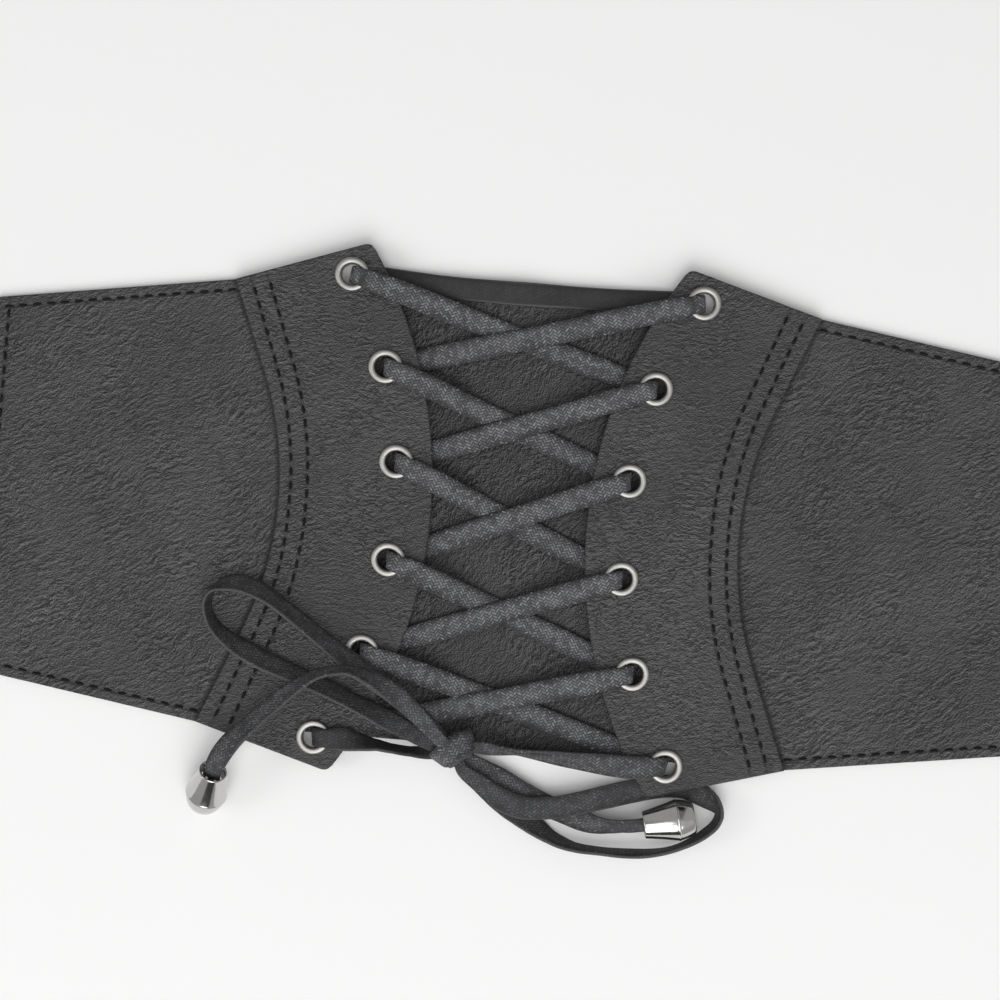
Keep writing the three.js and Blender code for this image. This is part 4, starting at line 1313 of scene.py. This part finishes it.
class BELT_OT_stage(bpy.types.Operator):
    """Table, soft studio light and the camera above the lacing"""

    bl_idname = "belt.stage"
    bl_label = "Stage"

    def execute(self, context):
        spec = context.scene.belt_stage
        scene = context.scene
        camera = bpy.data.cameras.new("Camera")
        camera.sensor_width = 36
        camera.lens = camera.sensor_width * (spec.height - FRONT_HEIGHT * MM) / spec.view_width
        camera.clip_start, camera.clip_end = 0.01, 20
        viewer = bpy.data.objects.new("Camera", camera)
        viewer.location = (VIEW_CENTRE[0] * MM, VIEW_CENTRE[1] * MM, spec.height)
        viewer.rotation_euler = (0, 0, spec.turn)
        scene.collection.objects.link(viewer)
        scene.camera = viewer
        half = TABLE_HALF_WIDTH
        corners = [(-half, -half), (half, -half), (half, half), (-half, half)]
        table = mesh_object(
            "table", [(x, y, TABLE_HEIGHT) for x, y in corners], [(0, 1, 2, 3)], smooth=False)
        material, _, _ = new_material("Table", Base_Color=(*spec.table_colour, 1), Roughness=0.7)
        table.data.materials.append(material)
        lights = [self.light(scene, *lamp) for lamp in LAMPS]
        self.surroundings(scene)
        scene.view_settings.view_transform = "Standard"
        return {"FINISHED"}

    def light(self, scene, name, place, aim, size, power):
        """A round lamp that faces a point."""
        lamp = bpy.data.lights.new(name, "AREA")
        lamp.shape, lamp.size, lamp.energy = "DISK", size, power
        obj = bpy.data.objects.new(name, lamp)
        obj.location = place
        aimed = Vector(aim) - Vector(place)
        obj.rotation_euler = aimed.to_track_quat("-Z", "Y").to_euler()
        scene.collection.objects.link(obj)
        return obj

    def surroundings(self, scene):
        """A pale room, dark low in front and behind, which the metal reflects."""
        world = bpy.data.worlds.new("Studio")
        world.use_nodes = True
        tree = world.node_tree
        place = node(tree, "ShaderNodeTexCoord").outputs["Generated"]
        parts = node(tree, "ShaderNodeSeparateXYZ", (place,)).outputs
        front = step_between(tree, calc(tree, "MULTIPLY", parts[1], -1.0), -0.4, 0.1, 0.35, 1.0)
        height = step_between(tree, parts[2], 0.34, 0.56, 0.1, 1.0)
        sideways = step_between(tree, calc(tree, "ABSOLUTE", parts[0]), 0.22, 0.42, 0.0, 0.8)
        bright = calc(tree, "MAXIMUM", calc(tree, "MULTIPLY", height, front), sideways)
        tree.links.new(bright, tree.nodes["Background"].inputs["Color"])
        tree.nodes["Background"].inputs["Strength"].default_value = 0.55
        scene.world = world


class BELT_OT_bow(bpy.types.Operator):
    """The bow's two loops, two free ends with their tips, and the knot"""

    bl_idname = "belt.bow"
    bl_label = "Bow"

    def execute(self, context):
        lace, metal = context.scene.belt_lace, context.scene.belt_metal
        material = material_of(braid_material, "Waxed braid", lace)
        steel = material_of(metal_material, "Dark nickel", metal.tip_colour, 0.12)
        for side, place in (("left", TIP_LEFT), ("right", TIP_RIGHT)):
            tip = lathe(f"tip_{side}_fine", tip_profile(), metal.sides, tip_place(place))
            finish_piece(tip, steel, "tip_metal", f"tip_{side}")
        free = (
            ("bow_loop_left", LOOP_LEFT, None, None),
            ("bow_loop_right", LOOP_RIGHT, None, None),
            ("tail_left", TAIL_LEFT, LACE_IN_HOLE, "left"),
            ("tail_right", TAIL_RIGHT, LACE_IN_HOLE, "right"),
        )
        for seed, (node_name, rows, end_width, tip_side) in enumerate(free):
            # Painted shade: loops and tails are darkened by their dullness value as faces turned
            # from the light, the loops more
            dull_and_shade = 0.5 if tip_side else 0.75
            obj, route = free_stretch(
                f"{node_name}_braid", rows, lace, end_width, seed + 1, dull_and_shade)
            finish_piece(obj, material, "lace", node_name)
        finish_piece(knot_piece(lace), material, "lace", "bow_knot")
        return {"FINISHED"}


class BELT_OT_lacing(bpy.types.Operator):
    """The lace through all twelve eyelets, from the knot and back to it"""

    bl_idname = "belt.lacing"
    bl_label = "Lacing"

    def execute(self, context):
        lace = context.scene.belt_lace
        material = material_of(braid_material, "Waxed braid", lace)
        points, across, widths = laced_route(lace.width / MM)
        obj, _ = braid(
            "lace_braid", points, across, widths, lace, seed=9, dull_and_shade=laced_dull_and_shade(points))
        finish_piece(obj, material, "lace", "lace")
        return {"FINISHED"}


class BELT_OT_eyelets(bpy.types.Operator):
    """Twelve rolled eyelets, tilted with their flaps"""

    bl_idname = "belt.eyelets"
    bl_label = "Eyelets"

    def execute(self, context):
        metal = context.scene.belt_metal
        steel = material_of(metal_material, "Satin nickel", metal.eyelet_colour, 0.44)
        for name, side in SIDES:
            hinge = Matrix.Translation((side * FLAP_HINGE_X, 0, PANEL_THICKNESS + GAP))
            hinge @= Matrix.Rotation(side * FLAP_RISE, 4, "Y")
            made = []
            for number, (x, y) in EYELETS.items():
                place = hinge @ Matrix.Translation((side * (x - FLAP_HINGE_X), y, 0))
                made.append(lathe(f"eyelet {number}", eyelet_profile(), metal.sides, place))
            obj = joined(f"eyelets_{name}", made)
            finish_piece(obj, steel, "eyelet_metal", *(f"eyelet_{name}_{k}" for k in EYELETS))
        return {"FINISHED"}


class BELT_OT_leather(bpy.types.Operator):
    """Tongue, side panels, lacing flaps and end tabs"""

    bl_idname = "belt.leather"
    bl_label = "Leather"

    def execute(self, context):
        spec = context.scene.belt_leather
        cell, roll, wave = (spec.cell / MM,) * 2, spec.edge_roll / MM, spec.wave / MM
        # Angle of the hide, how far its folds are drawn out, and the size of its grain
        panel = material_of(
            leather_material, "Panel leather", spec.colour, spec, -0.55, 0.4, size=0.66)
        front = material_of(
            leather_material, "Flap leather", spec.colour, spec, -0.2, 0.55, size=0.54)
        inner = material_of(
            leather_material, "Tongue leather", spec.tongue_colour, spec, -0.9, 0.6, sheen=0.35,
            size=0.7)

        def tongue_edge(sign):
            return edge_line(
                lambda y: sign * (seam_x(y) - SEAM_OVERLAP - GAP), TONGUE_BOTTOM, TONGUE_TOP)

        tongue = slab(
            "tongue_fine", tongue_edge(-1), tongue_edge(1), level(0), level(TONGUE_THICKNESS), 1,
            cell, roll, wave * 0.7, seed=3)
        row_distances(tongue, "tongue")
        finish_piece(tongue, inner, "tongue_leather", "tongue")

        for name, side in SIDES:
            heights = SEAM_ENDS[name]
            under_flap = panel_edges(name, seam_x(heights[1]) - SEAM_OVERLAP)
            side_panel = slab(
                f"side_panel_{name}_fine",
                edge_line(lambda y: seam_x(y) - SEAM_OVERLAP, *under_flap),
                upright(PANEL_END_X, *PANEL_ENDS[name]),
                level(0), level(PANEL_THICKNESS), side, cell, roll, wave, seed=side + 2)
            row_distances(side_panel, "panel", name)
            finish_piece(side_panel, panel, "leather", f"side_panel_{name}")
            flap = slab(
                f"flap_{name}_fine", edge_line(seam_x, *heights),
                edge_line(flap_inner_x, -FLAP_INNER_HALF_HEIGHT, FLAP_INNER_HALF_HEIGHT),
                lambda x, y: flap_under(x), lambda x, y: flap_under(x) + FLAP_THICKNESS,
                side, cell, roll, wave, seed=side + 5, corner=FLAP_CORNER)
            pierced(flap, [(side * x, y) for x, y in EYELETS.values()], EYELET_CUT_RADIUS)
            row_distances(flap, "flap")
            finish_piece(flap, front, "leather", f"flap_{name}")
            tab = slab(
                f"end_tab_{name}_fine", upright(TAB_START_X, -TAB_HALF_HEIGHT, TAB_HALF_HEIGHT),
                upright(BELT_END_X, -TAB_HALF_HEIGHT, TAB_HALF_HEIGHT),
                level(0), level(TAB_THICKNESS), side, cell, roll, wave / 2, seed=side + 7)
            row_distances(tab, "tab")
            finish_piece(tab, panel, "leather", f"end_tab_{name}")
        return {"FINISHED"}


class BELT_OT_back(bpy.types.Operator):
    """Elastic bands and the hook strip"""

    bl_idname = "belt.back"
    bl_label = "Back"

    def execute(self, context):
        ribbed = material_of(webbing_material, "Elastic webbing", (0.014, 0.014, 0.015), 2.4)
        hook = material_of(webbing_material, "Hook strip", (0.010, 0.010, 0.010), 1.2)
        high = ELASTIC_HALF_HEIGHT

        def ribs(x, y):
            rib = np.cos(y * 2 * math.pi / ELASTIC_RIB)
            return ELASTIC_THICKNESS + ELASTIC_RIB_HEIGHT * rib + 0 * x

        for name, side in SIDES:
            band = slab(
                f"elastic_{name}_fine", upright(PANEL_END_X + GAP, -high, high),
                upright(TAB_START_X - GAP, -high, high), level(0), ribs, side,
                cell=(5, 0.42), roll=0.45, wave=0.12, seed=side + 8)
            finish_piece(band, ribbed, "elastic", f"elastic_{name}")
        high = CLASP["half_height"]
        strip = slab(
            "clasp_strip_fine", upright(CLASP["start"], -high, high),
            upright(CLASP["end"], -high, high), level(CLASP["bottom"]), level(CLASP["top"]), -1,
            cell=(1.2, 1.2), roll=0.4, wave=0.04, seed=2)
        finish_piece(strip, hook, "clasp", "clasp_strip")
        return {"FINISHED"}


class BELT_OT_stitching(bpy.types.Operator):
    """Black stitches along every sewn row"""

    bl_idname = "belt.stitching"
    bl_label = "Stitching"

    def execute(self, context):
        spec = context.scene.belt_thread
        thread = material_of(thread_material, "Thread", spec.colour)
        for seed, (name, side) in enumerate(SIDES):
            flap = bpy.data.objects[f"flap_{name}_fine"]
            panel = bpy.data.objects[f"side_panel_{name}_fine"]
            tab = bpy.data.objects[f"end_tab_{name}_fine"]
            rows = [laid_on(flap, line) for line in flap_row_lines(name, side)]
            rows += [laid_on(panel, line) for line in panel_row_lines(name, side)]
            border = border_line(TAB_START_X, BELT_END_X, TAB_HALF_HEIGHT, TAB_ROW)
            rows.append(laid_on(tab, [(side * x, y) for x, y in border]))
            if side < 0:
                strip = bpy.data.objects["clasp_strip_fine"]
                border = border_line(CLASP["start"], CLASP["end"], CLASP["half_height"], CLASP_ROW)
                rows.append(laid_on(strip, [(side * x, y) for x, y in border]))
            stitches = sewn(f"stitches_{name}", rows, spec, thread, seed + 4)
            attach(stitches, "root")
        return {"FINISHED"}


class BELT_PT_panel(bpy.types.Panel):
    """Sizes, colours and building steps of the laced waist belt"""

    bl_idname = "BELT_PT_panel"
    bl_label = "Laced waist belt"
    bl_space_type = "VIEW_3D"
    bl_region_type = "UI"
    bl_category = "Belt"

    def draw(self, context):
        for name in ("belt_leather", "belt_thread", "belt_lace", "belt_metal", "belt_stage"):
            settings = getattr(context.scene, name)
            box = self.layout.box()
            for key in settings.__annotations__:
                box.prop(settings, key)
        for step in STEPS:
            self.layout.operator(step.bl_idname)


SETTINGS = {
    "belt_leather": BeltLeather,
    "belt_thread": BeltThread,
    "belt_lace": BeltLace,
    "belt_metal": BeltMetal,
    "belt_stage": BeltStage,
}
STEPS = (
    BELT_OT_stage,
    BELT_OT_bow,
    BELT_OT_lacing,
    BELT_OT_eyelets,
    BELT_OT_leather,
    BELT_OT_back,
    BELT_OT_stitching,
)


def register():
    """Adds the settings, the building steps and the panel."""
    for cls in (*SETTINGS.values(), *STEPS, BELT_PT_panel):
        bpy.utils.register_class(cls)
    for name, cls in SETTINGS.items():
        setattr(bpy.types.Scene, name, PointerProperty(type=cls))


def unregister():
    """Takes them out again."""
    for name in SETTINGS:
        delattr(bpy.types.Scene, name)
    for cls in (BELT_PT_panel, *STEPS[::-1], *list(SETTINGS.values())[::-1]):
        bpy.utils.unregister_class(cls)


def main():
    """Builds the belt step by step."""
    register()
    bpy.ops.belt.stage()
    bpy.ops.belt.bow()
    bpy.ops.belt.lacing()
    bpy.ops.belt.eyelets()
    bpy.ops.belt.leather()
    bpy.ops.belt.back()
    bpy.ops.belt.stitching()


if __name__ == "__main__":
    main()
